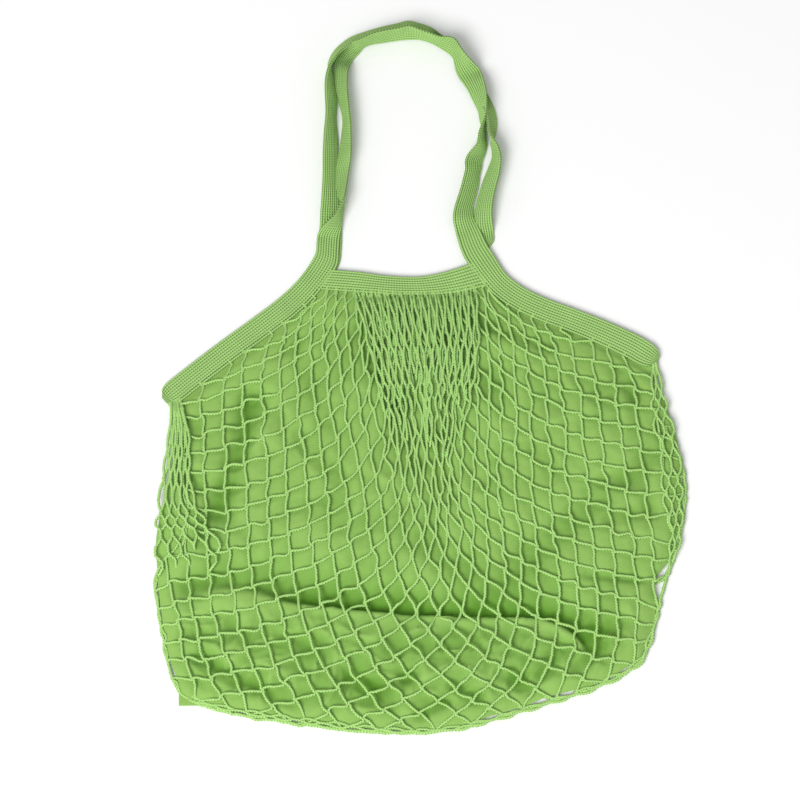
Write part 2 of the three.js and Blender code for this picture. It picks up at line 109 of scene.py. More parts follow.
# How far the net starts from the tapes, how deep inside the outline a cell's centre has to be, and
# the rounds in which corners are spaced along the edge and eased inside it
EDGE_GAP = 0.5 * MM
CELL_MARGIN = -3.0 * MM
EDGE_SPACING_ROUNDS = 60
MOUTH_SPACING_ROUNDS = 400
EASING_ROUNDS = 70
EASING_SHARE = 0.6
EASING_NEAR_EDGE = 0.25

# Between two levels of Y the net is more and more gathered, most of all near the middle. There its
# corners stray further, mostly lengthwise
GATHERED_FROM = -120 * MM
GATHERED_TO = 0.0
GATHERED_HALF_WIDTH = 75 * MM
STRAY = (0.55 * MM, 0.7 * MM)
STRAY_GATHERED = (0.5 * MM, 1.9 * MM)
STRAY_SEED = 5

# Corners on the net's edge are sewn into a tape above this line, which falls away from the middle
SEWN_ABOVE = -30 * MM
SEWN_SLOPE = 0.12

# How high the net's corners lie at its sides, and the share of the lining's folds that they follow
SIDE_LEVEL = 2.6 * MM
NET_DIP = 0.3
NET_DIP_REACH = 20 * MM

# The sides of a cord's tube, and how the net's cords run into the tapes
CORD_SIDES = 6
STUB_REACH = 5 * MM
SEWN_FRONT_LEVEL = FRONT_TAPE_LEVEL + 0.9 * MM
STUB_FRONT_LEVEL = FRONT_TAPE_LEVEL + 0.8 * MM
SEWN_BACK_LEVEL = TAPE_THICKNESS / 2

# Tapes: centre line and width, first the shoulders that both halves share
SHOULDER_WIDTH = 20 * MM
LEFT_SHOULDER = millimetres([
    [-201.5, -26.5, 11], [-200.3, -25.5, 15.5], [-198.5, -23.9, 18], [-196.2, -21.9, 19.6],
    [-193.1, -19.3, 20], [-187, -14, 20], [-171, -0.5, 20],
    [-151.5, 15.5, 20], [-128.5, 33.5, 20], [-105.5, 52.5, 20], [-91, 67.5, 20],
])
RIGHT_SHOULDER = millimetres([
    [64, 74, 20], [73, 65.5, 20], [85, 57.5, 20], [103, 48.8, 20], [119, 42.5, 20],
    [139, 34, 20.5], [158, 25, 21], [172.5, 17.5, 21.5], [180.3, 12.5, 21.3], [183.7, 10.4, 20.5],
    [186.2, 8.7, 18.5], [188.3, 7.5, 16], [189.6, 6.6, 12],
])
RIM_TOP = millimetres([
    [-68, 84.5], [-47, 82.5], [-31, 80], [-15, 78.5], [2, 78.5], [17, 81.5], [30, 85.5], [40.5, 89.5],
])
RIM_BOTTOM = millimetres([
    [-77.5, 67], [-58, 65.5], [-37, 64], [-15, 62.5], [7, 62.5], [23, 63.5], [38, 66], [52, 69.5],
])
EDGE_UNDER_LEFT = (-192 * MM, -79.5 * MM)
EDGE_UNDER_RIGHT = (54.5 * MM, 181 * MM)
MOUTH_ABOVE = 50 * MM

# The bag's side and bottom edges, from the right corner round to the left one
HULL = millimetres([
    [193, -9], [197.5, -24], [207, -56], [211, -92], [208, -135], [198.5, -164], [188.5, -201],
    [175.5, -244], [139, -267], [85, -285], [25, -302.5], [-30, -304.5], [-100, -296.5], [-158, -286],
    [-187, -272], [-196, -248], [-205, -197], [-211, -150], [-207, -108], [-202, -70], [-199.5, -37],
])
# The same for the even part of the net, which ends beside the cords gathered at the two corners
EVEN_NET_HULL = millimetres([
    [186, -9], [187.5, -28], [194, -48], [205, -66], [211, -92], [208, -135], [198.5, -164],
    [188.5, -201], [175.5, -244], [139, -267], [85, -285], [25, -302.5], [-30, -304.5], [-100, -296.5],
    [-158, -286], [-187, -272], [-196, -248], [-205, -200], [-208, -180], [-200, -163], [-187, -148],
    [-184, -124], [-186, -104], [-188, -78], [-186.5, -60], [-191, -44], [-198, -35],
])


# Curves


def smooth_line(rows, step):
    """A centripetal Catmull-Rom line through rows of x, y and any other columns. On each span it is
    the cubic whose end slopes come from the chords on both sides, over the square root of their
    lengths. It is sampled about every step metres."""
    rows = np.asarray(rows, float)
    ends = np.vstack([2 * rows[0] - rows[1], rows, 2 * rows[-1] - rows[-2]])
    chords = np.linalg.norm(np.diff(ends[:, :2], axis=0), axis=1)
    gaps = (chords**0.5)[:, None]
    before, here, after = gaps[:-2], gaps[1:-1], gaps[2:]
    p0, p1, p2, p3 = ends[:-3], ends[1:-2], ends[2:-1], ends[3:]
    slope1 = ((p1 - p0) / before - (p2 - p0) / (before + here) + (p2 - p1) / here) * here
    slope2 = ((p2 - p1) / here - (p3 - p1) / (here + after) + (p3 - p2) / after) * here
    counts = np.maximum(1, np.round(chords[1:-1] / step)).astype(int)
    span = np.repeat(np.arange(len(counts)), counts)
    first = np.repeat(np.cumsum(counts) - counts, counts)
    t = ((np.arange(len(span)) - first) / counts[span])[:, None]
    line = ((2 * t**3 - 3 * t**2 + 1) * p1[span] + (t**3 - 2 * t**2 + t) * slope1[span]
            + (3 * t**2 - 2 * t**3) * p2[span] + (t**3 - t**2) * slope2[span])
    return np.vstack([line, rows[-1]])


def unit(vectors):
    """Vectors over their lengths, or zero where they have none."""
    return vectors / np.maximum(np.linalg.norm(vectors, axis=-1, keepdims=True), 1e-12)


def lengths_along(line):
    """How far along a line each of its points is."""
    return np.concatenate([[0], np.cumsum(np.linalg.norm(np.diff(line, axis=0), axis=1))])


def at_lengths(line, wanted):
    """Places in plan at given distances along a line."""
    length = lengths_along(line)
    return np.stack([np.interp(wanted, length, line[:, k]) for k in (0, 1)], axis=-1)


def resampled(line, count):
    """A line of points as count points, evenly spaced along it."""
    return at_lengths(line, np.linspace(0, lengths_along(line)[-1], count))


def headings(line):
    """Unit direction in plan at each point of a line, and the direction to its right."""
    ahead = unit(np.gradient(line[:, :2], axis=0))
    return ahead, np.stack([ahead[:, 1], -ahead[:, 0]], axis=1)


def below_tape(shoulder, within):
    """A line just past a shoulder tape's lower edge, from right to left, kept within a range of X."""
    line = smooth_line(shoulder, 9 * MM)
    _, right = headings(line)
    edge = (line[:, :2] + right * (SHOULDER_WIDTH / 2 + EDGE_GAP))[::-1]
    return edge[(edge[:, 0] > within[0]) & (edge[:, 0] < within[1])]


def bag_outline(hull):
    """An edge of the net in plan, counter-clockwise: right shoulder, rim, left shoulder, then a hull."""
    rim = smooth_line(RIM_BOTTOM, 9 * MM)[::-1] - [0, EDGE_GAP]
    return np.vstack([
        below_tape(RIGHT_SHOULDER, EDGE_UNDER_RIGHT), rim, below_tape(LEFT_SHOULDER, EDGE_UNDER_LEFT),
        smooth_line(hull, 5 * MM)[::-1],
    ])


def nearest_on(points, starts, ends):
    """For each point the nearest of many straight pieces: its number, the share along it, and the
    distance to it."""
    reach = ends - starts
    offset = points[:, None] - starts
    share = np.clip((offset * reach).sum(2) / np.maximum((reach**2).sum(1), 1e-18), 0, 1)
    distance = np.linalg.norm(offset - share[..., None] * reach, axis=2)
    best = distance.argmin(1)
    rows = np.arange(len(points))
    return best, share[rows, best], distance[rows, best]


OUTLINE = bag_outline(HULL)


def depth_inside(points, outline):
    """How far each point is inside an outline, negative outside. A point is inside where a ray
    towards +X crosses the outline an odd number of times."""
    points = np.asarray(points, float).reshape(-1, 2)
    following = np.roll(outline, -1, axis=0)
    _, _, distance = nearest_on(points, outline, following)
    x, y = points[:, :1], points[:, 1:]
    (ax, ay), (bx, by) = outline.T, following.T
    spans = (ay > y) != (by > y)
    level = np.where(ay == by, 1, by - ay)
    crosses = spans & (x < ax + (y - ay) / level * (bx - ax))
    return np.where(crosses.sum(1) % 2 == 1, distance, -distance)


def is_at_mouth(points):
    """Whether each point in plan is under the rim band."""
    left, right = RIM_BOTTOM[0, 0], RIM_BOTTOM[-1, 0]
    return (points[:, 1] > MOUTH_ABOVE) & (points[:, 0] > left) & (points[:, 0] < right)


def front_height(points):
    """Height of the net's front over points: an exponential rise from the edge, fuller at the belly,
    lower along the crease."""
    points = np.asarray(points, float).reshape(-1, 2)
    x, y = points.T
    inward = 1 - np.exp(-np.maximum(depth_inside(points, OUTLINE), 0) / RISE_REACH)
    belly = BELLY["height"] * np.exp(
        -((x - BELLY["x"]) / BELLY["across_x"]) ** 2 - ((y - BELLY["y"]) / BELLY["across_y"]) ** 2)
    (left_x, left_y), (right_x, right_y) = CREASE["left"], CREASE["right"]
    share = np.clip((x - left_x) / (right_x - left_x), 0, 1)
    crease_y = left_y + (right_y - left_y) * share + CREASE["sag"] * 4 * share * (1 - share)
    crease_x = np.maximum(0, np.maximum(left_x - x, x - right_x))
    crease = CREASE["depth"] * np.exp(-(np.hypot(y - crease_y, crease_x) / CREASE["width"]) ** 2)
    return EDGE_HEIGHT + inward * (RISE + belly - crease)


def smooth_noise(points, size, seed, waves=14):
    """Smooth noise of about unit size: a sum of plane waves in seeded directions with seeded phases."""
    rng = np.random.default_rng(seed)
    angle = rng.uniform(0, 2 * np.pi, waves)
    length = size * rng.uniform(0.7, 1.5, waves)
    phase = rng.uniform(0, 2 * np.pi, waves)
    turns = (points[..., :1] * np.cos(angle) + points[..., 1:2] * np.sin(angle)) / length
    return np.sin(2 * np.pi * turns + phase).sum(-1) / np.sqrt(waves / 2)


# Meshes


def new_piece(name, points, faces, uv=None, values=None):
    """A mesh object of points and of face arrays, each with faces of one size. uv holds one pair for
    each corner of every face, in the same order, and values one number for each point."""
    mesh = bpy.data.meshes.new(name)
    mesh.vertices.add(len(points))
    mesh.vertices.foreach_set("co", np.asarray(points, np.float32).ravel())
    corners = np.concatenate([f.ravel() for f in faces])
    sizes = np.concatenate([np.full(len(f), f.shape[1]) for f in faces])
    mesh.loops.add(len(corners))
    mesh.loops.foreach_set("vertex_index", corners.astype(np.int32))
    mesh.polygons.add(len(sizes))
    mesh.polygons.foreach_set("loop_start", (np.cumsum(sizes) - sizes).astype(np.int32))
    mesh.polygons.foreach_set("loop_total", sizes.astype(np.int32))
    if uv is not None:
        layer = mesh.uv_layers.new(name="Cloth")
        layer.data.foreach_set("uv", np.asarray(uv, np.float32).ravel())
    for key, numbers in (values or {}).items():
        attribute = mesh.attributes.new(key, "FLOAT", "POINT")
        attribute.data.foreach_set("value", np.asarray(numbers, np.float32))
    mesh.validate()
    mesh.update()
    mesh.shade_smooth()
    mesh.set_sharp_from_angle(angle=np.radians(SHARP_FROM))
    piece = bpy.data.objects.new(name, mesh)
    bpy.context.scene.collection.objects.link(piece)
    return piece


def grid_faces(rows, columns, wraps=False):
    """Quads of a grid of points stored row by row. With wraps the last column meets the first."""
    across = columns if wraps else columns - 1
    r, c = np.meshgrid(np.arange(rows - 1), np.arange(across), indexing="ij")
    on = (c + 1) % columns
    return np.stack([r * columns + c, r * columns + on, (r + 1) * columns + on, (r + 1) * columns + c],
                    axis=-1).reshape(-1, 4)


def dress(piece, material, slot, *nodes):
    """Gives a piece its material, ties it to the bag's body, and hides the nodes that it stands for."""
    piece.data.materials.append(material)
    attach(piece, "root")
    if nodes:
        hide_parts(*nodes)
    return piece


# The net


def strand_offsets(family, towards):
    """Where each step of a family of strands ends in plan, from the top corner. A step is one side
    long at an angle that turns from steep to flat as a logistic curve, and then sinks slowly."""
    steps = np.arange(-STEPS_BACK, STEPS_ON) + 0.5
    turned = 1 / (1 + np.exp((steps - family["middle"]) / family["spread"]))
    beyond = SINK_EASE * np.log1p(np.exp((steps - SINK_FROM) / SINK_EASE))
    angle = np.radians(
        family["flat"] + (family["steep"] - family["flat"]) * turned - family["sink"] * beyond)
    side = family["flat_side"] + (family["side"] - family["flat_side"]) * turned
    moves = side[:, None] * np.stack([towards * np.cos(angle), -np.sin(angle)], axis=1)
    places = np.vstack([[0, 0], np.cumsum(moves, axis=0)])
    return places - places[STEPS_BACK]


def without_loose_cells(cells):
    """Drops cells that hang on by a corner or one side, until none is left."""
    while True:
        framed = np.pad(cells, 1)
        above, below = framed[:-2, 1:-1], framed[2:, 1:-1]
        left, right = framed[1:-1, :-2], framed[1:-1, 2:]
        beside = above.astype(int) + below + left + right
        straight = (beside == 2) & ((above & below) | (left & right))
        loose = cells & ((beside < 2) | straight)
        if not loose.any():
            return cells
        cells = cells & ~loose


def edge_loop(cells):
    """The corners round the edge of the kept cells, counter-clockwise, as numbers i * columns + j."""
    i, j = np.nonzero(cells)
    columns = cells.shape[1] + 1
    first = i * columns + j
    corners = np.stack([first, first + 1, first + columns + 1, first + columns], axis=1)
    start, end = corners.ravel(), np.roll(corners, -1, axis=1).ravel()
    total = columns * (cells.shape[0] + 1)
    on_edge = ~np.isin(start * total + end, end * total + start)
    follows = dict(zip(start[on_edge].tolist(), end[on_edge].tolist()))
    loop = [next(iter(follows))]
    while follows[loop[-1]] != loop[0]:
        loop.append(follows[loop[-1]])
    return np.array(loop)


def neighbour_sums(places, sides_i, sides_j):
    """Sum of each corner's neighbours along the net's sides, and how many there are."""
    total = np.zeros_like(places)
    count = np.zeros(places.shape[:2])
    for axis, sides in ((0, sides_i), (1, sides_j)):
        ahead = [slice(None)] * 2
        behind = [slice(None)] * 2
        ahead[axis], behind[axis] = slice(1, None), slice(None, -1)
        total[tuple(ahead)] += places[tuple(behind)] * sides[..., None]
        total[tuple(behind)] += places[tuple(ahead)] * sides[..., None]
        count[tuple(ahead)] += sides
        count[tuple(behind)] += sides
    return total, count


def spaced_on(outline, corners):
    """Corners of the net's edge moved to an outline. Each settles halfway between its neighbours
    along it, all of them for some rounds and those at the mouth for longer."""
    following = np.roll(outline, -1, axis=0)
    lengths = np.linalg.norm(following - outline, axis=1)
    reached = np.concatenate([[0], np.cumsum(lengths)])
    perimeter = reached[-1]
    closed = np.vstack([outline, outline[:1]])

    def point_at(along):
        wrapped = np.mod(along, perimeter)
        return np.stack([np.interp(wrapped, reached, closed[:, k]) for k in (0, 1)], axis=1)

    number, share, _ = nearest_on(corners, outline, following)
    along = np.sort(np.unwrap(reached[number] + share * lengths[number], period=perimeter))
    for spacing_round in range(MOUTH_SPACING_ROUNDS):
        before = np.concatenate([[along[-1] - perimeter], along[:-1]])
        after = np.concatenate([along[1:], [along[0] + perimeter]])
        moves = (spacing_round < EDGE_SPACING_ROUNDS) | is_at_mouth(point_at(along))
        along = np.where(moves, 0.5 * along + 0.25 * (before + after), along)
    return point_at(along)


def eased(places, sides_i, sides_j, on_edge, rise):
    """Corners moved round by round towards the mean of their neighbours: the more, the nearer they
    are to the rim, a little next to the edge, and not at all on it."""
    edge_near, _ = neighbour_sums(on_edge[..., None].astype(float), sides_i, sides_j)
    easing = np.maximum(EASING_NEAR_EDGE * (edge_near[..., 0] > 0), rise**2 * (3 - 2 * rise))
    easing[on_edge] = 0
    for _ in range(EASING_ROUNDS):
        total, count = neighbour_sums(places, sides_i, sides_j)
        mean = total / np.maximum(count, 1)[..., None]
        moved = places + EASING_SHARE * easing[..., None] * (mean - places)
        places = np.where((count > 0)[..., None], moved, places)
    return places


def net_lattice(outline):
    """The net's corners in plan, the cells kept inside an outline, and the sides between corners.
    A corner is the top corner plus i steps falling right and j steps falling left. Corners on the
    edge move to the outline, those near it or gathered under the rim are eased, and all but the
    edge's stray a little. Sides that would run along inside a tape are left out."""
    places = NET_TOP + strand_offsets(FALLING_RIGHT, 1)[:, None] + strand_offsets(FALLING_LEFT, -1)[None]
    centres = (places[:-1, :-1] + places[1:, :-1] + places[:-1, 1:] + places[1:, 1:]) / 4
    inward = depth_inside(centres, outline).reshape(centres.shape[:2])
    cells = without_loose_cells(inward > CELL_MARGIN)
    framed = np.pad(cells, 1)
    sides_i = framed[1:-1, 1:] | framed[1:-1, :-1]
    sides_j = framed[1:, 1:-1] | framed[:-1, 1:-1]
    loop = edge_loop(cells)
    flat = places.reshape(-1, 2)
    flat[loop] = spaced_on(outline, flat[loop])
    on_edge = np.zeros(len(flat), bool)
    on_edge[loop] = True
    on_edge = on_edge.reshape(places.shape[:2])
    rise = np.clip((places[..., 1] - GATHERED_FROM) / (GATHERED_TO - GATHERED_FROM), 0, 1)
    places = eased(places, sides_i, sides_j, on_edge, rise)
    rng = np.random.default_rng(STRAY_SEED)
    bunched = rise * np.exp(-(places[..., 0] / GATHERED_HALF_WIDTH) ** 2)
    stray = rng.normal(0, 1, places.shape) * (STRAY + bunched[..., None] * STRAY_GATHERED)
    places = places + np.where(on_edge[..., None], 0, stray)
    sewn = on_edge & (places[..., 1] > SEWN_ABOVE - SEWN_SLOPE * np.abs(places[..., 0]))
    sides_i = sides_i & ~(sewn[:-1] & sewn[1:])
    sides_j = sides_j & ~(sewn[:, :-1] & sewn[:, 1:])
    return {"places": places, "sides_i": sides_i, "sides_j": sides_j, "edge": on_edge, "sewn": sewn}


def side_corners(lattice):
    """For both families of the net's sides: its axis, and both corners of each side."""
    for axis, sides in ((0, lattice["sides_i"]), (1, lattice["sides_j"])):
        near = np.nonzero(sides)
        yield axis, near, tuple(n + (1 if k == axis else 0) for k, n in enumerate(near))


def merge_directions(lattice):
    """The way that the two cords of each corner run side by side: the sum of its sides' downward
    steps, each by the square of its steepness, as a unit vector."""
    places = lattice["places"]
    down = np.zeros_like(places)
    for axis, sides in ((0, lattice["sides_i"]), (1, lattice["sides_j"])):
        step = np.diff(places, axis=axis) * sides[..., None]
        steep = step[..., 1:] ** 2 / np.maximum((step**2).sum(-1, keepdims=True), 1e-12)
        first, second = [slice(None)] * 2, [slice(None)] * 2
        first[axis], second[axis] = slice(None, -1), slice(1, None)
        down[tuple(first)] += step * steep**2
        down[tuple(second)] += step * steep**2
    down[..., 1] -= 1e-5
    return unit(down)


# A cord beside its partner at a junction: how far to the side and over what share of the gap between
# two junctions at most, and how far its ends run on
BESIDE_SHARE = 0.55
BESIDE_MOST = 0.06
HALF_JUNCTION_MOST = 0.12
RUN_ON = 0.7 * MM

# Its bend in between: samples, how far the handles of the cubic follow the junction, and how uneven
BEND_SAMPLES = 9
HANDLE_SHARE = 0.25
HANDLE_FOLLOWS = 0.4
UNEVEN = 0.13 * MM
UNEVEN_UPWARD = 0.5
FULL_SLACK_GAP = 17 * MM
WAVE_SHARE = 0.6
BOW_LIFT = 0.3

# A cord's thickness: how uneven it is, and its share at both ends
RADIUS_UNEVEN = 0.09
THIN_END = 0.7


def strand_paths(start, end, start_way, end_way, side, merge, radius, seed, slack):
    """Cord paths from corner to corner, as (cords, samples, 3). A cord runs beside its partner over
    half a junction, leaves it as a cubic towards the next junction, and runs beside its partner
    there on the other side. A seeded bow and wave across it give the slack of a real cord. Both ends
    run on a little into the next cord and get thin there."""
    rng = np.random.default_rng(seed)
    gap = np.linalg.norm(end - start, axis=1)
    lateral = (side * np.minimum(radius * BESIDE_SHARE, gap * BESIDE_MOST))[:, None]

    def left_of(way):
        return np.stack([-way[:, 1], way[:, 0], 0 * way[:, 0]], axis=1)

    a = start + left_of(start_way) * lateral
    d = end - left_of(end_way) * lateral
    half = np.minimum(merge / 2, gap * HALF_JUNCTION_MOST)[:, None]
    b = a + start_way * half
    c = d - end_way * half
    reach = np.linalg.norm(c - b, axis=1)[:, None]
    straight = (c - b) * (1 - HANDLE_FOLLOWS)
    b_out = b + (start_way * HANDLE_FOLLOWS * reach + straight) * HANDLE_SHARE
    c_in = c - (end_way * HANDLE_FOLLOWS * reach + straight) * HANDLE_SHARE
    t = np.linspace(0, 1, BEND_SAMPLES)[None, :, None]
    bend = ((1 - t) ** 3 * b[:, None] + 3 * (1 - t) ** 2 * t * b_out[:, None]
            + 3 * (1 - t) * t**2 * c_in[:, None] + t**3 * c[:, None])
    bend += rng.normal(0, UNEVEN, bend.shape) * [1, 1, UNEVEN_UPWARD]
    loose = (slack * np.minimum(gap / FULL_SLACK_GAP, 1))[:, None, None]
    bow = rng.normal(0, 1, (len(start), 1, 1)) * loose
    wave = rng.normal(0, WAVE_SHARE, (len(start), 1, 1)) * loose
    across = unit(left_of(c - b))[:, None]
    bend = bend + across * (bow * np.sin(np.pi * t) + wave * np.sin(2 * np.pi * t))
    bend[..., 2] += BOW_LIFT * np.abs(bow[..., 0]) * np.sin(np.pi * t[..., 0])
    before, beyond = a - start_way * RUN_ON, d + end_way * RUN_ON
    return np.concatenate([before[:, None], a[:, None], bend, d[:, None], beyond[:, None]], axis=1)


def cord_radii(paths, radius, seed):
    """A radius for each ring of some cords: a little uneven, and thin at both ends."""
    uneven = np.random.default_rng(seed).normal(size=paths.shape[:2])
    radii = radius * (1 + RADIUS_UNEVEN * uneven)
    radii[:, [0, -1]] *= THIN_END
    return radii


def tubes(name, paths, radii, sides):
    """Closed round tubes along many paths. Each ring stands square to its path: one axis is level,
    the other is square to both. radii holds one radius for each ring. The cloth map runs round a
    tube in U and along it in V, in metres."""
    count, rings = paths.shape[:2]
    ahead = unit(np.gradient(paths, axis=1))
    level = unit(np.stack([-ahead[..., 1], ahead[..., 0], 0 * ahead[..., 0]], axis=-1))
    upward = np.cross(ahead, level)
    turn = 2 * np.pi * np.arange(sides) / sides
    ring = (np.cos(turn)[:, None] * level[:, :, None] + np.sin(turn)[:, None] * upward[:, :, None])
    points = (paths[:, :, None] + ring * radii[:, :, None, None]).reshape(-1, 3)
    one = grid_faces(rings, sides, wraps=True)
    first = np.arange(count)[:, None, None] * rings * sides
    walls = (one[None] + first).reshape(-1, 4)
    start_cap = (np.arange(sides)[::-1] + first[:, 0])
    end_cap = (np.arange(sides) + (rings - 1) * sides + first[:, 0])
    steps = np.linalg.norm(np.diff(paths, axis=1), axis=2)
    length = np.concatenate([np.zeros((count, 1)), np.cumsum(steps, axis=1)], axis=1)
    column = np.tile([0, 1, 1, 0], len(one)) + np.repeat(np.tile(np.arange(sides), rings - 1), 4)
    row = np.tile([0, 0, 1, 1], len(one)) + np.repeat(np.repeat(np.arange(rings - 1), sides), 4)
    u = np.tile(column / sides, count)
    v = length[:, row].ravel()
    wall_uv = np.stack([u, v], axis=1)
    cap_uv = np.zeros((count * sides * 2, 2))
    return new_piece(name, points, [walls, start_cap, end_cap], np.vstack([wall_uv, cap_uv]))


def lattice_cords(lattice, heights, radius, merge, seed, slack):
    """Paths of every cord of the net from its lattice and the heights of its corners."""
    places = np.concatenate([lattice["places"], heights[..., None]], axis=-1)
    way = merge_directions(lattice)
    way = np.concatenate([way, np.zeros_like(way[..., :1])], axis=-1)
    paths = []
    for axis, near, far in side_corners(lattice):
        start, end = places[near], places[far]
        straight = unit(end - start)
        along_edge = (lattice["edge"][near] & lattice["edge"][far])[:, None]
        start_way = np.where(along_edge, straight, way[near])
        end_way = np.where(along_edge, straight, way[far])
        side = (1 - 2 * axis) * ~along_edge[:, 0]
        paths.append(strand_paths(
            start, end, start_way, end_way, side, merge, radius, seed + axis, slack))
    return np.concatenate(paths)


def tape_stubs(lattice, heights, level):
    """Short cords from the net's corners at its shoulders and mouth on into the tapes above them."""
    _, count = neighbour_sums(lattice["places"], lattice["sides_i"], lattice["sides_j"])
    used = lattice["sewn"] & (count > 0)
    start = np.concatenate([lattice["places"][used], heights[used][:, None]], axis=1)
    following = np.roll(OUTLINE, -1, axis=0)
    nearest, _, _ = nearest_on(start[:, :2], OUTLINE, following)
    along = unit((following - OUTLINE)[nearest])
    outward = np.stack([along[:, 1], -along[:, 0], 0 * along[:, 0]], axis=1)
    end = start + outward * STUB_REACH
    end[:, 2] = level
    t = np.linspace(0, 1, BEND_SAMPLES + 4)[None, :, None]
    return start[:, None] * (1 - t) + end[:, None] * t


def strand_segments(lattice):
    """Start and end in plan of every cord of the net, as straight pieces."""
    places = lattice["places"]
    pairs = [(places[near], places[far]) for _, near, far in side_corners(lattice)]
    return tuple(np.concatenate(ends) for ends in zip(*pairs))


LATTICE = net_lattice(bag_outline(EVEN_NET_HULL))

# The camera: it looks down at 69 degrees from the bag's lower end
CAMERA_AT = np.array([-0.0148, -1.30095, 3.3194])
CAMERA_AIM = np.array([-0.0148, -0.02675, 0.0])
CAMERA_LENS = 200
CAMERA_SENSOR = 36
PICTURE = 800


def seen_at(spots, level):
    """Points at given levels that the camera sees at spots of its picture, in pixels. The ray through
    a spot is the view axis plus its share of the sensor's width over the lens, sideways and upwards."""
    spots = np.asarray(spots, float)
    ahead = (CAMERA_AIM - CAMERA_AT) / np.linalg.norm(CAMERA_AIM - CAMERA_AT)
    right = np.array([1.0, 0.0, 0.0])
    upward = np.cross(right, ahead)
    share = (spots - PICTURE / 2) / PICTURE * CAMERA_SENSOR / CAMERA_LENS
    ray = ahead + share[..., :1] * right - share[..., 1:2] * upward
    reach = (level - CAMERA_AT[2]) / ray[..., 2]
    return CAMERA_AT + reach[..., None] * ray


# Narrow cells between two lines of picture spots: gathered at the left and right corners and under
# the rim, and turned under along the bottom edge. Each has its number of cords and of cells along
# them, the shortest cord's share of the full length, how far the cords sink into the front and are
# lifted off it, in radii, and how far they swing from one end to the other
BUNDLES = {
    "net_left_corner": {
        "left": [[172, 394], [169.5, 423], [166, 448], [162.5, 470], [159, 492], [156, 517], [155, 540],
                 [155.5, 560], [157, 578]],
        "right": [[180, 396], [186, 420], [190, 438], [190.5, 457], [191, 476], [194, 495], [202, 514],
                  [214, 532], [222, 551], [223, 570]],
        "cords": 10, "cells": 6.5, "shortest": 0.86, "sink": -0.6, "lift": 1.1,
        "swing": [0.35, 0.5, 0.9, 1]},
    "net_right_corner": {
        "left": [[652, 362], [651, 392], [652, 418], [658, 445], [664, 478], [669, 512], [669, 550],
                 [661, 588]],
        "right": [[657, 361], [664, 391], [671, 417], [678, 445], [682, 475], [683, 505], [681, 540],
                  [667, 583]],
        "cords": 4, "cells": 8, "shortest": 0.85, "sink": 0.3, "lift": 0.8, "swing": [0.6, 1, 1, 1]},
    "net_under_rim": {
        "left": [[352, 290], [362, 325], [370, 355], [379, 390], [388, 425], [397, 465]],
        "right": [[477, 284], [480, 325], [479, 355], [473, 390], [466, 425], [458, 465]],
        "cords": 30, "cells": 5, "shortest": 0.45, "sink": -0.6, "lift": 0.8,
        "swing": [0.3, 0.6, 0.85, 0.9]},
    "net_lower_edge": {
        "left": [[190, 695], [215, 703.5], [260, 712], [320, 720], [380, 727], [425, 729], [460, 725],
                 [500, 715], [545, 701], [585, 688], [615, 673.5], [637, 660], [650, 632], [658, 600]],
        "right": [[188, 700], [215, 707.5], [260, 716.5], [320, 725], [385, 732], [425, 732.5],
                  [470, 727], [510, 717], [555, 703], [595, 690], [622, 677.5], [643, 661.5], [654, 634],
                  [661, 600]],
        "cords": 2, "cells": 19, "shortest": 0.98, "sink": 1.6, "lift": 0.4, "swing": [1, 1]},
}
BUNDLE_SAMPLES = 150
BUNDLE_FIRST_SEED = 31
PICTURE_STEP = 2

# How gathered cords swing and drift in their lanes, how high they lie in radii, and where their ends
# sink into the net or go under the tape, as shares of their length
SWING_CUT = 1.3
LANE_DRIFT = 0.25
LANE_UNEVEN = 0.12
LIFT_SPREAD = 0.8
LIFT_WAVE = 0.3
END_SINK = 4 * MM
END_SINK_SHARE = 0.02
UNDER_TAPE_SHARE = 0.055
UNDER_TAPE_LEVEL = FRONT_TAPE_LEVEL + 0.6 * MM
LEAST_LEVEL = 1.2


def evenly(spots, shares):
    """Places at given shares of the length of a smooth line through picture spots."""
    line = smooth_line(spots, PICTURE_STEP)
    return at_lengths(line, shares * lengths_along(line)[-1])


def bundle_cords(bundle, radius, seed):
    """Cords of narrow cells between two lines. Cord k swings from one side of its lane to the other
    and back once in each cell, as a cosine cut off at both sides, and its neighbours swing the other
    way, so that each touches them in turn. The cords lie on the bag's front, start under the tape
    and sink into the net at their other end."""
    rng = np.random.default_rng(seed)
    count = bundle["cords"]
    share = np.linspace(0, 1, BUNDLE_SAMPLES) * rng.uniform(bundle["shortest"], 1, count)[:, None]
    number = np.arange(count)[:, None]
    drift = np.interp(share, np.linspace(0, 1, 9), rng.normal(0, LANE_DRIFT, 9))
    own = rng.normal(0, LANE_UNEVEN, (count, 1))
    phase = np.pi * (2 * bundle["cells"] * share + drift + number + own)
    wide = np.interp(share, np.linspace(0, 1, len(bundle["swing"])), bundle["swing"])
    swing = np.clip(SWING_CUT * np.cos(phase), -1, 1) * wide
    lane = (number + 0.5 + 0.5 * swing) / count
    left, right = evenly(bundle["left"], share), evenly(bundle["right"], share)
    uneven = rng.normal(0, LANE_UNEVEN, (*lane.shape, 2))
    spots = left + (right - left) * lane[..., None] + uneven
    level = np.full(lane.shape, 8 * MM)
    for _ in range(3):
        plan = seen_at(spots, level)
        level = front_height(plan[..., :2]).reshape(lane.shape) - bundle["sink"] * radius
    spread = rng.uniform(-LIFT_SPREAD, LIFT_SPREAD, (count, 1)) + LIFT_WAVE * np.sin(phase / 2)
    level = level + radius * bundle["lift"] * spread
    level = level - END_SINK * np.exp(-((1 - share / share[:, -1:]) / END_SINK_SHARE) ** 2)
    start = np.exp(-(share / UNDER_TAPE_SHARE) ** 4)
    level = level * (1 - start) + UNDER_TAPE_LEVEL * start
    plan[..., 2] = np.maximum(level, LEAST_LEVEL * radius)
    return plan


# The lining

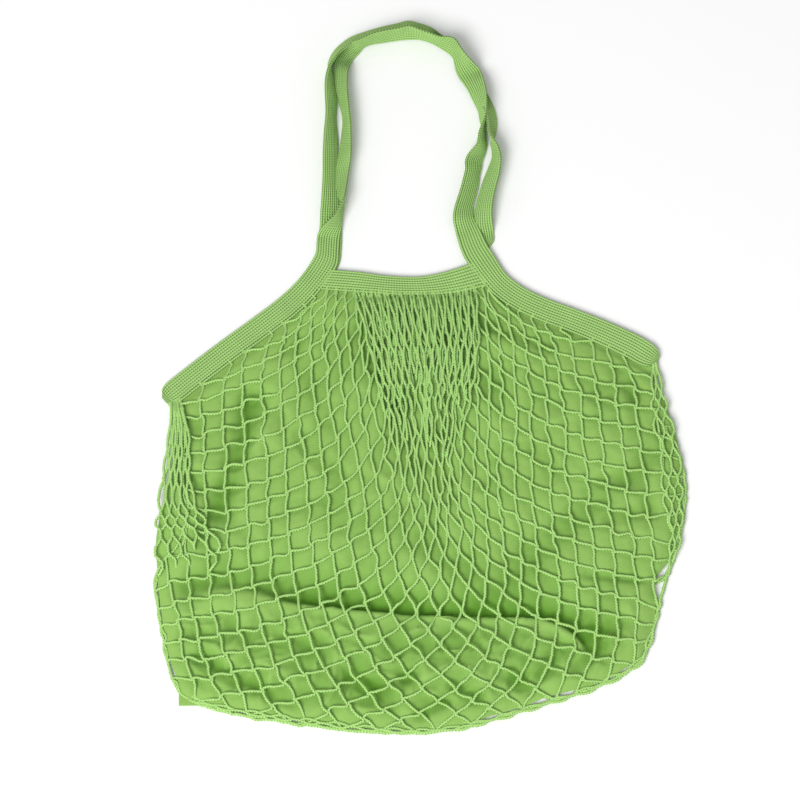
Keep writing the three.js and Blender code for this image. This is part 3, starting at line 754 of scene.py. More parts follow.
LINING_TOP = millimetres([
    [-195, -36], [-185, -20], [-168, -6], [-150, 8], [-128, 25], [-104, 44], [-88, 60], [-72, 72],
    [-40, 70], [-10, 69], [20, 70], [48, 75], [62, 67], [82, 53], [104, 41], [132, 31], [160, 21],
    [181, 9], [188.5, -2],
])
LINING_LEFT = millimetres([
    [-195, -36], [-194, -60], [-196.5, -85], [-202, -112], [-207.5, -148], [-206, -170], [-203.5, -197],
    [-195, -244], [-188, -264], [-187, -283],
])
LINING_RIGHT = millimetres([
    [188.5, -2], [195.5, -26], [205, -57], [209.3, -92], [206.3, -135], [197, -163], [185, -182],
    [186, -203], [181, -226], [173.5, -243],
])
LINING_BOTTOM = millimetres([
    [-187, -283], [-168, -283], [-140, -287], [-100, -294], [-62, -298.5], [-30, -302], [0, -302.5],
    [25, -300.5], [55, -291.5], [84, -282.5], [99, -276], [112, -272.5], [139, -265], [158, -254.5],
    [173.5, -243],
])
LINING_ACROSS = 190
LINING_DOWN = 160

# Where the lining steps down under a roll of itself: the crisp upper edge of that roll
ROLL_EDGE = millimetres([
    [-196, -183], [-165, -181.5], [-132, -186], [-98, -197], [-60, -203.5], [-15, -208], [25, -210],
    [65, -210.5], [97, -212], [116, -219], [127, -230], [138, -244], [156, -252],
])
ROLL_TROUGH = 9.5 * MM
ROLL_REACH = 18 * MM
ROLL_WALL = 1.6 * MM
ROLL_LIP = 1.4 * MM
ROLL_LIP_AT = 5 * MM
ROLL_STARTS_OVER = 0.3
ROLL_ENDS_OVER = 0.14

# The left share of the roll is blunt: a shallower trough, a softer wall and no lip
BLUNT_SHARE = 0.36
BLUNT_SHALLOWER = 0.3
BLUNT_WALL = 9 * MM

# Soft folds: a line from one end to the other, how deep it sinks and how wide
FOLDS = millimetres([
    [54, -198, 98, -158, 2.6, 13], [98, -158, 147, -108, 2.7, 14], [147, -108, 204, -70, 2.3, 11],
    [-133, -30, -142, -76, 5.2, 9], [-142, -76, -160, -126, 5.6, 10], [-160, -126, -172, -150, 2.5, 9],
    [-180, -98, -172, -104, 3.5, 7], [-190, -40, -180, -52, 3, 8],
    [-46, 30, -28, -20, 2.4, 8], [-28, -20, 2, -88, 2.4, 8], [30, 56, 26, 6, 1.6, 7],
    [26, 6, 14, -70, 1.2, 8],
    [-100, 20, -74, -50, 2.2, 12], [-60, -60, -64, -130, 1.2, 14], [60, -20, 74, -96, 1, 11],
    [35, 40, 106, 18, 3, 7], [160, 2, 172, -24, 3.4, 8], [196, -60, 204, -84, 3, 7],
    [132, -178, 182, -182, 2.8, 4], [150, -132, 182, -122, 2.4, 8], [-10, -150, 44, -176, 2, 12],
    [-198, -190, -150, -182, 2.6, 8], [-172, -244, -127, -268, 5.6, 5.5], [-127, -268, -98, -284, 4, 6],
    [-196, -232, -180, -226, 2, 6], [-150, -214, -134, -232, 2.2, 7],
    [-52, -260, -34, -270, 4.8, 9], [-12, -262, -6, -260, 5.6, 5.5], [-6, -298, 20, -280, 6.6, 5.5],
    [30, -268, 46, -276, 4.4, 6], [76, -262, 86, -272, 7, 6], [86, -240, 72, -262, 2.6, 6],
    [110, -238, 96, -258, 3, 6], [-104, -230, -76, -236, 2, 8], [-20, -236, 16, -240, 2.2, 7],
    [140, -222, 172, -214, 2.4, 7], [120, -256, 132, -246, 3, 5],
])
PLEATS = {"x": -8 * MM, "top": NET_TOP[1] + 10 * MM, "length": 150 * MM, "depth": 0.8 * MM,
          "spread_at_top": 7.5 * MM, "spread_at_end": 13 * MM, "half_width": 85 * MM}

# Creases: the size of their noise, its seed, their depth, and how much deeper they are in the roll
CREASES = ((74 * MM, 24, 1.3, 0), (36 * MM, 25, 0.5, 1.9), (22 * MM, 26, 0.2, 1.1))
CREASE_CURVE = 0.8
ROLL_TOP = -200 * MM
ROLL_EASE = 25 * MM

# How the pouch lies: the level of its seam and its rough size across and down, how far the cords
# press in, the level of its back, and the room under the tapes
SEAM_LEVEL = 3.0 * MM
SEAM_REACH = 6 * MM
POUCH_SIZE = (400 * MM, 300 * MM)
PRESS_REACH = 3.0 * MM
CORD_SHARE = 0.4
BACK_LEVEL = 2.35 * MM
MOUTH_LEVEL = 2.45 * MM
MOUTH_SHARE = 0.3
UNDER_TAPE_REACH = 6 * MM
FOLD_REACH = 25 * MM
# Painted shade in the folds: how far the cloth sinks before it is darkened, and over how much further the
# shade grows to full
PAINTED_SHADE_FROM = 1.5 * MM
PAINTED_SHADE_RANGE = 8.5 * MM


def coons_patch(top, bottom, left, right, across, down):
    """A grid between four edge lines: the two ruled sheets added, less the four-cornered one."""
    t, b = resampled(smooth_line(top, 2 * MM), across), resampled(smooth_line(bottom, 2 * MM), across)
    l, r = resampled(smooth_line(left, 2 * MM), down), resampled(smooth_line(right, 2 * MM), down)
    u = np.linspace(0, 1, across)[None, :, None]
    v = np.linspace(0, 1, down)[:, None, None]
    ruled = (1 - v) * t[None] + v * b[None] + (1 - u) * l[:, None] + u * r[:, None]
    corners = ((1 - u) * (1 - v) * t[0] + u * (1 - v) * t[-1] + (1 - u) * v * b[0] + u * v * b[-1])
    return ruled - corners


def roll_step(points):
    """Height change at the roll: a trough that deepens exponentially towards the roll's edge from
    above, a steep wall there, and a low lip on the roll just below it."""
    line = smooth_line(ROLL_EDGE, 4 * MM)
    number, share, distance = nearest_on(points, line[:-1], line[1:])
    offset, reach = points - line[number], (line[1:] - line[:-1])[number]
    side = np.sign(reach[:, 0] * offset[:, 1] - reach[:, 1] * offset[:, 0])
    above = np.where(side > 0, distance, 0)
    below = np.where(side > 0, 0, distance)
    along = (number + share) / (len(line) - 1)
    starts = np.clip(along / ROLL_STARTS_OVER, 0, 1) ** 0.6
    ends = starts * np.clip((1 - along) / ROLL_ENDS_OVER, 0, 1)
    blunt = np.clip(1 - along / BLUNT_SHARE, 0, 1)
    wall = np.exp(-((below / (ROLL_WALL + BLUNT_WALL * blunt)) ** 2))
    trough = ROLL_TROUGH * (1 - BLUNT_SHALLOWER * blunt) * np.exp(-(above / ROLL_REACH) ** 1.15) * wall
    lip = ROLL_LIP * np.exp(-((below - ROLL_LIP_AT) / ROLL_LIP_AT) ** 2) * (side <= 0) * (1 - blunt)
    return ends * trough, ends * lip


def fold_depth(points):
    """How far soft folds sink: for each the depth times a bell curve of the distance to its line, the
    largest of them, with pleats fanning out from under the rim as a sine of the angle there."""
    depth = np.zeros(len(points))
    for fold in FOLDS:
        _, _, distance = nearest_on(points, fold[None, :2], fold[None, 2:4])
        depth = np.maximum(depth, fold[4] * np.exp(-(distance / fold[5]) ** 2))
    fall = np.clip((PLEATS["top"] - points[:, 1]) / PLEATS["length"], 0, 1)
    spread = PLEATS["spread_at_top"] + (PLEATS["spread_at_end"] - PLEATS["spread_at_top"]) * fall
    across = (points[:, 0] - PLEATS["x"]) / spread
    pleats = np.sin(across * 2.1 + 0.9 * smooth_noise(points, 60 * MM, 31)) * 0.5 + 0.5
    fade = np.exp(-(points[:, 0] / PLEATS["half_width"]) ** 2) * (1 - fall) ** 1.5
    return depth + PLEATS["depth"] * 2 * pleats * fade


def crumple(points):
    """Soft wrinkles below zero: broad swells, and ridged creases made from the size of smooth noise,
    deeper in the roll at the bottom of the bag."""
    warped = points + 7 * MM * np.stack(
        [smooth_noise(points, 70 * MM, seed) for seed in (21, 22)], axis=-1)
    swell = 0.1 + 0.35 * smooth_noise(warped, 58 * MM, 23)
    low = np.clip((ROLL_TOP - points[:, 1]) / ROLL_EASE, 0, 1)
    ridged = sum(
        (depth + deeper * low) * np.minimum(np.abs(smooth_noise(warped, size, seed)), 1) ** CREASE_CURVE
        for size, seed, depth, deeper in CREASES)
    return MM * (1.4 * swell + ridged)


def lining_front(flat, past_seam, near_mouth, size, cord):
    """Heights of the pouch's front, and the share of painted shade at each point, from 0 to 1, which
    grows as the cloth sinks deeper in its folds. The cloth fills the net up to its cords, which press
    into it, and sinks where it is folded. From its seam it rises as past_seam says, and next to the
    tapes it stays low enough to go under them."""
    starts, ends = strand_segments(LATTICE)
    away = np.concatenate([nearest_on(part, starts, ends)[2] for part in np.array_split(flat, 30)])
    press = size.press * np.exp(-((away / PRESS_REACH) ** 2))
    trough, lip = roll_step(flat)
    inward = depth_inside(flat, OUTLINE)
    wrinkles = size.crumple * (crumple(flat) + fold_depth(flat))
    sink = (wrinkles + trough - lip) * np.clip(inward / FOLD_REACH, 0.15, 1)
    height = front_height(flat) - CORD_SHARE * cord - press - sink
    front = SEAM_LEVEL + (height - SEAM_LEVEL) * past_seam
    clear = np.clip((inward + 0.5 * MM) / UNDER_TAPE_REACH, 0, 1)
    front = MOUTH_LEVEL + (front - MOUTH_LEVEL) * np.where(near_mouth, clear, 1)
    lowest = np.where(near_mouth, MOUTH_LEVEL, SEAM_LEVEL) + 0.15 * MM * past_seam
    return np.maximum(front, lowest), np.clip((sink - PAINTED_SHADE_FROM) / PAINTED_SHADE_RANGE, 0, 1)


def lining_back(flat, past_seam):
    """Heights of the pouch's back: nearly flat, on the cords of the net's back."""
    clear = np.clip((depth_inside(flat, OUTLINE) + 0.5 * MM) / UNDER_TAPE_REACH, 0, 1)
    low = BACK_LEVEL + 0.2 * MM * smooth_noise(flat, 40 * MM, 27)
    low = np.minimum(low, BACK_LEVEL + 0.3 * MM * clear)
    return SEAM_LEVEL + (low - SEAM_LEVEL) * past_seam


def pouch_faces(rows, columns):
    """Faces of a pouch of two grids, the front's points before the back's. They share the points of
    their sides and bottom, and a strip joins their first rows, with a triangle at both its ends."""
    count = rows * columns
    row, column = np.divmod(np.arange(count), columns)
    shared = (column == 0) | (column == columns - 1) | (row == rows - 1)
    number = np.arange(count * 2)
    number[count:][shared] = np.arange(count)[shared]
    front, back = number[grid_faces(rows, columns)[:, ::-1]], number[grid_faces(rows, columns) + count]
    top = np.arange(columns)
    under = number[top + count]
    mouth = np.stack([top[:-1], top[1:], under[1:], under[:-1]], axis=1)
    ends = np.stack([mouth[0, [0, 1, 2]], mouth[-1, [0, 1, 3]]])
    return [front, back, mouth[1:-1], ends]


# Tapes

# The handles as the picture shows them: their two edges, left and right of the way up the left leg
# and down the right one, in pixels. Then which edge stands up, 1 for the left, -1 for the right and
# 0 where the tape lies flat, and the level in millimetres under the lower one.
FRONT_HANDLE = [
    [311, 262, 334, 272, 0, 2.55], [315.5, 253, 338, 263, 0, 2.55], [316.5, 243, 339, 248, 0, 2.55],
    [318, 233, 340, 236, 0, 2.55], [321.5, 227.5, 341, 229.5, 1, 2.55], [328, 221, 342, 222, 1, 2.6],
    [334, 215.5, 342.7, 215, 1, 2.6], [339, 207, 343.5, 206, 1, 2.2], [343, 200, 341, 200.5, 1, 1.5],
    [345, 194.5, 336.7, 195.5, 1, 0.8], [346, 189, 333.5, 190.5, 1, 0.3], [347.5, 180, 331.7, 181, 1, 0.3],
    [349, 170, 332, 171, 1, 0.3], [350.3, 161, 334.5, 162, 1, 0.3], [351, 153, 338.5, 154.5, 1, 0.3],
    [351.2, 145, 340.3, 145.5, 1, 0.3], [351, 133, 342, 133, 1, 0.3], [350.3, 121, 343, 121, 1, 0.3],
    [349.2, 110, 341.5, 111, 1, 0.3], [348.3, 100, 338.5, 101.5, 1, 0.3], [347.5, 90, 335, 92, 1, 0.3],
    [347.3, 79, 333.2, 80, 1, 0.3], [348.5, 69, 333, 67, 1, 0.3], [353, 60.5, 335, 57.5, 0, 0.3],
    [359, 54, 341, 49, 0, 0.3], [364, 47.5, 350, 42.5, -1, 0.3], [372, 44.3, 361, 38.2, -1, 0.3],
    [383, 42.7, 373, 33, -1, 0.3], [393, 41.2, 387, 29.7, -1, 0.3], [402, 40, 399, 27.7, -1, 0.3],
    [410, 39.5, 409, 25.5, -1, 0.3], [418, 39.4, 419, 29, -1, 0.3], [426, 41, 430, 32.8, -1, 0.8],
    [434, 44.3, 440, 36.3, -1, 1.6], [443, 50, 450, 36.5, -1, 2.4], [449, 54, 456, 39.5, -1, 2.6],
    [453, 58, 460, 46, -1, 2.6], [454.5, 64, 466, 54, -1, 2.6], [455.5, 70.5, 473, 61.5, -1, 2.6],
    [458.5, 77.5, 479.5, 68.5, -1, 2.6], [463.5, 84.5, 483.2, 77, -1, 2.6], [468, 91, 485.7, 86, -1, 2.4],
    [471.7, 98.5, 487, 95, -1, 2.2], [475.5, 105.5, 487, 103, -1, 1.4], [478.7, 112, 486.3, 111, -1, 0.6],
    [480, 119, 484.5, 119, -1, 0.3], [481.5, 125, 482, 125, -1, 0.3],
    [484.5, 131.5, 479.3, 131.5, -1, 0.3], [485.3, 138, 478.3, 138, -1, 0.3],
    [486.3, 144.5, 476.8, 144, -1, 0.3], [485.8, 150, 472, 149.5, -1, 0.3],
    [484.5, 155.5, 467, 155.5, -1, 0.3], [482.5, 161.5, 465, 162, -1, 0.3],
    [481.3, 168, 465.5, 168, -1, 0.3],
    [479.5, 177, 463.5, 177, -1, 0.3], [478, 188, 460.5, 188, -1, 0.3], [475.3, 199, 457, 199, -1, 0.4],
    [472.7, 209, 453.8, 210, -1, 1], [473.5, 218, 453, 219.5, -1, 2.1], [478, 226, 454.7, 229, 0, 2.55],
    [482.5, 235, 457.5, 239.5, 0, 2.55], [487, 244.5, 461, 250.5, 0, 2.55], [493, 253.5, 466, 261, 0, 2.55],
]
BACK_HANDLE = [
    [311, 262, 335, 272, 0, 0], [316, 252, 340, 262, 0, 0], [318, 242, 341.5, 248, 0, 0],
    [319, 232, 342, 236, 0, 0], [320, 222, 342, 224, 1, 0], [320.3, 212, 341, 213, 1, 0],
    [321.3, 201, 340, 201, 1, 0], [322, 190, 339, 190, 1, 0], [322.7, 180, 338, 180, 1, 0],
    [323, 170, 338, 170, 1, 0], [323, 160, 338, 160, 1, 0], [323.2, 150, 338, 150, 1, 0],
    [323.7, 140, 338, 140, 1, 0], [324.3, 130, 336.8, 130, 1, 0], [325.5, 120, 336, 120, 1, 0],
    [326, 110, 336.3, 110, 1, 0], [325.7, 102, 337, 102, 1, 0], [325.2, 93, 336, 93, 1, 0],
    [325.2, 84, 334, 84, 1, 0], [326.2, 75, 332, 75, 1, 0], [329, 66, 328.5, 66, 1, 0],
    [334, 58.5, 331, 57, 1, 0], [339, 52, 335.5, 50, 1, 0], [345, 47, 341.5, 44.3, 1, 0],
    [352, 42.5, 349.5, 38.5, 1, 0], [361, 38.7, 358.5, 34.7, 1, 0], [371.5, 34.3, 370, 31, 1, 0],
    [384, 30.7, 383, 27.3, 1, 0], [396, 29, 395.5, 24.6, 1, 0], [408, 26.5, 408.3, 21.5, 1, 0],
    [417.5, 30.5, 419, 23.8, 1, 0], [426.5, 33.5, 429, 27, 1, 0], [434, 37, 437, 31.5, 0, 0],
    [440, 41, 443.5, 36, 0, 0], [445, 45.5, 449.5, 39.5, 0, 0], [450.5, 53, 456, 45.5, 0, 0],
    [455, 62, 463.5, 56, 0, 0], [457.5, 71, 472, 65, 0, 0], [462, 79.5, 479, 73.5, 0, 0],
    [468, 87, 483.3, 82.5, 0, 0], [474, 94.5, 486.5, 91, 0, 0], [480.5, 101.5, 490, 98.5, 0, 0],
    [484, 108, 493, 106, 1, 0], [486, 115, 495.5, 114, 1, 0], [487.5, 123, 496.7, 122, 1, 0],
    [488.5, 131, 496, 131, 1, 0], [492.5, 138, 494, 138, 1, 0], [497, 143.5, 491.2, 143.5, 1, 0],
    [499.7, 150, 492.3, 150.5, 1, 0], [501, 157, 492.3, 158, 1, 0], [500.7, 165, 489.7, 165, 1, 0],
    [499.5, 173, 486.3, 173, 1, 0], [497, 183, 482.3, 183, 1, 0], [494.5, 193, 479.3, 193, 1, 0],
    [492.7, 203, 476.3, 203, 1, 0], [492, 213, 473.5, 214, 1, 0], [492.8, 223, 471.5, 224, 1, 0],
    [494, 232, 473, 235, 0, 0], [494, 241, 476, 246, 0, 0], [489.5, 249, 469, 257, 0, 0],
    [495, 259, 474, 268, 0, 0],
]

# The tapes' section, its sewn groove near one edge, their folded ends, and the rim bands' sunk ends.
# Places across a tape and along a rim band are shares from 0 to 1
TAPE_STEP = 2.2 * MM
WALES = 9
WALE_SAMPLES = 6
SEAM_AT = 0.89
SEAM_DEPTH = 0.7 * MM
SEAM_HALF_WIDTH = 0.016
SEAM_LIP = 0.14
ROUNDED_SHARE = 0.055
LEAST_TAPE_LEVEL = 0.05 * MM
END_FOLD_STEPS = 9
END_FOLD_TAIL = 5 * MM
END_FOLD_SPACING = 0.6
END_PINCH = 0.4
RIM_STATIONS = 60
RIM_SINK = 1.0 * MM
RIM_SINK_SHARE = 0.02


def handle_edges(rows, width, thickness):
    """The two edges of a handle's middle in space, from where the camera sees them. One edge lies at
    its level, and the other is raised by the height that makes the tape its full width across: the
    root of a quadratic, as an edge that is raised slides along the camera's ray."""
    rows = np.array(rows, float)
    up = rows[:, 4]
    level = rows[:, 5] * MM + thickness / 2
    for _ in range(2):
        left, right = seen_at(rows[:, :2], level), seen_at(rows[:, 2:4], level)
        raised, still = np.where(up[:, None] > 0, left, right), np.where(up[:, None] > 0, right, left)
        slide = CAMERA_AT - raised
        slide /= slide[:, 2:]
        across = raised - still
        a = (slide**2).sum(1)
        b = (across * slide).sum(1)
        c = (across**2).sum(1) - width**2
        rise = np.maximum((np.sqrt(np.maximum(b**2 - a * c, 0)) - b) / a, 0) * (up != 0)
        flatness = np.sqrt(np.maximum(1 - (rise / width) ** 2, 0))
        level = rows[:, 5] * MM + np.maximum(thickness / 2 * flatness, 0.2 * MM)
    raised = raised + slide * rise[:, None]
    is_left = (up > 0)[:, None]
    return np.where(is_left, raised, still), np.where(is_left, still, raised)


def flat_edges(line, middle):
    """The two edges of a flat tape along a line in plan with its widths, at the level of its middle."""
    _, right = headings(line)
    half = right * (line[:, 2] / 2)[:, None]
    level = np.full(len(line), middle)
    return (np.column_stack([line[:, :2] - half, level]), np.column_stack([line[:, :2] + half, level]))


def tape_edges(handle, shoulder_level, width, thickness):
    """Both edges of a tape from corner to corner: shoulder, handle, shoulder."""
    middle = shoulder_level + thickness / 2
    parts = (flat_edges(LEFT_SHOULDER, middle), handle_edges(handle, width, thickness),
             flat_edges(RIGHT_SHOULDER, middle))
    left, right = (np.vstack(edges) for edges in zip(*parts))
    line = smooth_line(np.column_stack([(left + right)[:, :2] / 2, left, right]), TAPE_STEP)
    return line[:, 2:5], line[:, 5:8]


def tape_section(thickness, wales, rib):
    """One turn round a flat knitted tape, as places across from 0 to 1 and heights. Its sides are
    rounded, its faces have a rounded rib for each wale, and a sewn groove runs near its right edge."""
    v = np.linspace(0, 1, wales * WALE_SAMPLES + 1)
    ends = np.array([0.0, 0.006, 0.02])
    seam = SEAM_AT + np.array([-0.03, -0.012, 0, 0.012, 0.03])
    v = np.unique(np.concatenate([v, ends, 1 - ends, seam]))
    side = np.clip(np.minimum(v, 1 - v) / ROUNDED_SHARE, 0, 1)
    body = thickness / 2 * np.sqrt(1 - (1 - side) ** 2)
    ribs = rib * (np.abs(np.sin(np.pi * wales * v)) ** 0.6 - 1) * side
    groove = SEAM_DEPTH * np.exp(-((v - SEAM_AT) / SEAM_HALF_WIDTH) ** 2)
    lip = SEAM_LIP * thickness * np.clip((v - SEAM_AT) / 0.02, 0, 1) * side
    top = body + ribs - groove - lip
    low = -body - ribs
    across = np.concatenate([v, v[-2:0:-1]])
    height = np.concatenate([np.maximum(top, 0), low[-2:0:-1]])
    return across, height


def tape_piece(name, left, right, thickness, bow, wales, rib, folds):
    """A tape between its two edges: at each station the section is laid across from edge to edge,
    bowed as a half sine where the tape stands up, with its heights along the surface's normal. With
    folds, each end turns down through half a circle to the tape behind it."""
    share, height = tape_section(thickness, wales, rib)
    middle = (left + right) / 2
    ahead = unit(np.gradient(middle, axis=0))
    reach = right - left
    width = np.linalg.norm(reach, axis=1)
    normal = unit(np.cross(reach / width[:, None], ahead))
    standing = np.clip(np.abs(reach[:, 2]) / width, 0, 1)
    bowed = (bow * standing)[:, None] * np.sin(np.pi * share)
    points = (left[:, None] + reach[:, None] * share[:, None]
              + normal[:, None] * (height + bowed)[..., None])
    points[..., 2] = np.maximum(points[..., 2], LEAST_TAPE_LEVEL)
    run = lengths_along(middle)
    if folds:
        points, run = with_end_folds(points, run, ahead, thickness)
    rows, columns = points.shape[:2]
    walls = grid_faces(rows, columns, wraps=True)
    last_row = np.arange(columns)[None] + (rows - 1) * columns
    caps = [np.arange(columns)[::-1][None], last_row]
    row, column = np.divmod(walls, columns)
    wall_uv = np.stack([share[column] * wales, run[row]], axis=-1).reshape(-1, 2)
    cap_uv = np.zeros((2 * columns, 2))
    return new_piece(name, points.reshape(-1, 3), [walls, *caps], np.vstack([wall_uv, cap_uv]))


def with_end_folds(points, run, ahead, thickness):
    """Adds to both ends of a tape a fold: its end section turns through half a circle, about the
    middle between the front and the back tape, narrows on the way, and runs a little way back."""
    turn = np.linspace(0, np.pi, END_FOLD_STEPS + 1)[1:, None]
    middle = (FRONT_TAPE_LEVEL + BACK_TAPE_LEVEL + thickness) / 2
    narrowed = 1 - END_PINCH * np.sin(turn)
    added = []
    for end, way in ((0, -ahead[0]), (-1, ahead[-1])):
        section = points[end]
        height = section[:, 2] - middle
        out = height * np.sin(turn)
        centre = section.mean(axis=0)
        x, y = (centre[k] + (section[:, k] - centre[k]) * narrowed for k in (0, 1))
        swung = np.stack([x + way[0] * out, y + way[1] * out, middle + height * np.cos(turn)], axis=-1)
        tail = swung[-1:] - way * [1, 1, 0] * END_FOLD_TAIL
        added.append(np.concatenate([swung, tail]))
    extra = np.arange(1, len(turn) + 2) * TAPE_STEP * END_FOLD_SPACING
    points = np.concatenate([added[0][::-1], points, added[1]])
    return points, np.concatenate([run[0] - extra[::-1], run, run[-1] + extra])


def run_on(line):
    """A line with one more point at both ends, two steps beyond them."""
    return np.vstack([2 * line[0] - line[2], line, 2 * line[-1] - line[-3]])


def rim_edges(level, thickness):
    """Both edges of a rim band. Its ends run on a little and sink into the shoulder tapes."""
    top, bottom = (run_on(run_on(resampled(smooth_line(rows, 2 * MM), RIM_STATIONS)))
                   for rows in (RIM_TOP, RIM_BOTTOM))
    share = np.linspace(0, 1, len(top))
    sunk = np.exp(-np.minimum(share, 1 - share) / RIM_SINK_SHARE) * RIM_SINK
    height = level + thickness / 2 - sunk
    return np.column_stack([top, height]), np.column_stack([bottom, height])


# Shader groups


def group_with(name, inputs, outputs):
    """A shader node group with named number inputs and named outputs, and its two end nodes."""
    group = bpy.data.node_groups.new(name, "ShaderNodeTree")
    for label, default in inputs.items():
        socket = group.interface.new_socket(label, in_out="INPUT", socket_type="NodeSocketFloat")
        socket.default_value = default
    for label, kind in outputs.items():
        group.interface.new_socket(label, in_out="OUTPUT", socket_type=kind)
    start = group.nodes.new("NodeGroupInput")
    end = group.nodes.new("NodeGroupOutput")
    return group, start, end


def math_node(tree, operation, *values):
    """A Math node whose inputs are numbers or sockets; returns its output."""
    node = tree.nodes.new("ShaderNodeMath")
    node.operation = operation
    for k, value in enumerate(values):
        if isinstance(value, (int, float)):
            node.inputs[k].default_value = value
        else:
            tree.links.new(value, node.inputs[k])
    return node.outputs[0]


def cloth_map(tree):
    """The U and V of the piece's own cloth map."""
    uv = tree.nodes.new("ShaderNodeUVMap")
    uv.uv_map = "Cloth"
    split = tree.nodes.new("ShaderNodeSeparateXYZ")
    tree.links.new(uv.outputs[0], split.inputs[0])
    return split.outputs[0], split.outputs[1]


def fibre_group():
    """Uneven dye and lint: fine and broad noise on Object coordinates, as a value round 0.5."""
    group, start, end = group_with(
        "fibre_variation", {"Fine": 900.0, "Broad": 25.0}, {"Value": "NodeSocketFloat"})
    place = group.nodes.new("ShaderNodeTexCoord")
    noises = []
    for label, detail in (("Fine", 3.0), ("Broad", 4.0)):
        noise = group.nodes.new("ShaderNodeTexNoise")
        noise.inputs["Detail"].default_value = detail
        group.links.new(place.outputs["Object"], noise.inputs["Vector"])
        group.links.new(start.outputs[label], noise.inputs["Scale"])
        noises.append(noise.outputs[0])
    mean = math_node(group, "MULTIPLY_ADD", noises[0], 0.5, math_node(group, "MULTIPLY", noises[1], 0.5))
    group.links.new(mean, end.inputs["Value"])
    return group


def knit_group():
    """Knitted wales and stitches on the cloth map. Height rises on each stitch: one minus the square
    of the distance from its wale's middle, times a wave along it that leans towards the wale's two
    sides. The second output marks the small gaps where stitches meet between wales, where the tape's
    material paints shade."""
    group, start, end = group_with(
        "knit_stitches", {"Stitches per metre": 450.0},
        {"Height": "NodeSocketFloat", "Gap shade": "NodeSocketFloat"})
    u, v = cloth_map(group)
    wale = math_node(group, "FRACT", u)
    from_middle = math_node(group, "ABSOLUTE", math_node(group, "SUBTRACT", wale, 0.5))
    stitch = math_node(group, "MULTIPLY", v, start.outputs[0])
    leaning = math_node(group, "MULTIPLY_ADD", from_middle, 1.1, stitch)
    wave = math_node(group, "SINE", math_node(group, "MULTIPLY", leaning, 2 * np.pi))
    lift = math_node(group, "MULTIPLY_ADD", wave, 0.5, 0.5)
    crown = math_node(group, "SUBTRACT", 1.0, math_node(
        group, "POWER", math_node(group, "MULTIPLY", from_middle, 2.0), 2.0))
    height = math_node(group, "MULTIPLY", crown, math_node(group, "MULTIPLY_ADD", lift, 0.6, 0.4))
    low = math_node(group, "SUBTRACT", 1.0, lift)
    between = math_node(group, "SMOOTH_MAX", math_node(
        group, "MULTIPLY_ADD", from_middle, 4.0, -1.0), 0.0, 0.1)
    gap_shade = math_node(group, "MULTIPLY", between, math_node(group, "POWER", low, 1.5))
    group.links.new(height, end.inputs["Height"])
    group.links.new(gap_shade, end.inputs["Gap shade"])
    return group


def cord_group():
    """The chain of stitches of a knitted cord on its cloth map: two leaning waves that mirror each
    other round the cord, so that it looks plaited."""
    group, start, end = group_with(
        "cord_chain", {"Stitches per metre": 430.0}, {"Height": "NodeSocketFloat"})
    u, v = cloth_map(group)
    turns = math_node(group, "MULTIPLY", v, start.outputs[0])
    waves = []
    for lean in (1.0, -1.0):
        angle = math_node(group, "MULTIPLY", math_node(group, "MULTIPLY_ADD", u, lean, turns), 2 * np.pi)
        waves.append(math_node(group, "MULTIPLY_ADD", math_node(group, "SINE", angle), 0.5, 0.5))
    group.links.new(math_node(group, "MAXIMUM", *waves), end.inputs["Height"])
    return group


def weave_group():
    """Plain weave on Object coordinates: threads over and under as the product of two waves."""
    group, start, end = group_with(
        "plain_weave", {"Threads per metre": 1400.0}, {"Height": "NodeSocketFloat"})
    place = group.nodes.new("ShaderNodeTexCoord")
    split = group.nodes.new("ShaderNodeSeparateXYZ")
    group.links.new(place.outputs["Object"], split.inputs[0])
    waves = []
    for axis in (0, 1):
        angle = math_node(group, "MULTIPLY", math_node(
            group, "MULTIPLY", split.outputs[axis], start.outputs[0]), 2 * np.pi)
        waves.append(math_node(group, "SINE", angle))
    weave = math_node(group, "MULTIPLY_ADD", math_node(group, "MULTIPLY", *waves), 0.5, 0.5)
    group.links.new(weave, end.inputs["Height"])
    return group


def place_group(tree, group, **values):
    """A node of a group in a material, with its own input values."""
    node = tree.nodes.new("ShaderNodeGroup")
    node.node_tree = group
    for label, value in values.items():
        node.inputs[label.replace("_", " ")].default_value = value
    return node


def mixed(tree, factor, first, second):
    """A mix of two colours by a factor; each may be a value or a socket. Returns the colour."""
    node = tree.nodes.new("ShaderNodeMix")
    node.data_type = "RGBA"
    for number, value in ((0, factor), (6, first), (7, second)):
        if isinstance(value, bpy.types.NodeSocket):
            tree.links.new(value, node.inputs[number])
        else:
            node.inputs[number].default_value = (*value, 1) if isinstance(value, tuple) else value
    return node.outputs[2]


def shaded(colour, *shares):
    """A colour times one share, or its red, green and blue each times its own."""
    return tuple(np.multiply(colour, shares))


def cloth_material(name, roughness, sheen):
    """An empty cloth material with its shader, and a bump that feeds the shader's normal."""
    material = bpy.data.materials.new(name)
    material.use_nodes = True
    tree = material.node_tree
    shader = tree.nodes["Principled BSDF"]
    shader.inputs["Roughness"].default_value = roughness
    shader.inputs["Sheen Weight"].default_value = sheen
    shader.inputs["Sheen Roughness"].default_value = 0.4
    shader.inputs["Specular IOR Level"].default_value = 0.12
    bump = tree.nodes.new("ShaderNodeBump")
    tree.links.new(bump.outputs[0], shader.inputs["Normal"])
    return material, tree, shader, bump


def set_bump(tree, bump, height, strength, depth):
    """Drives a bump by a height socket, with its strength and its depth in metres."""
    tree.links.new(height, bump.inputs["Height"])
    bump.inputs["Strength"].default_value = strength
    bump.inputs["Distance"].default_value = depth


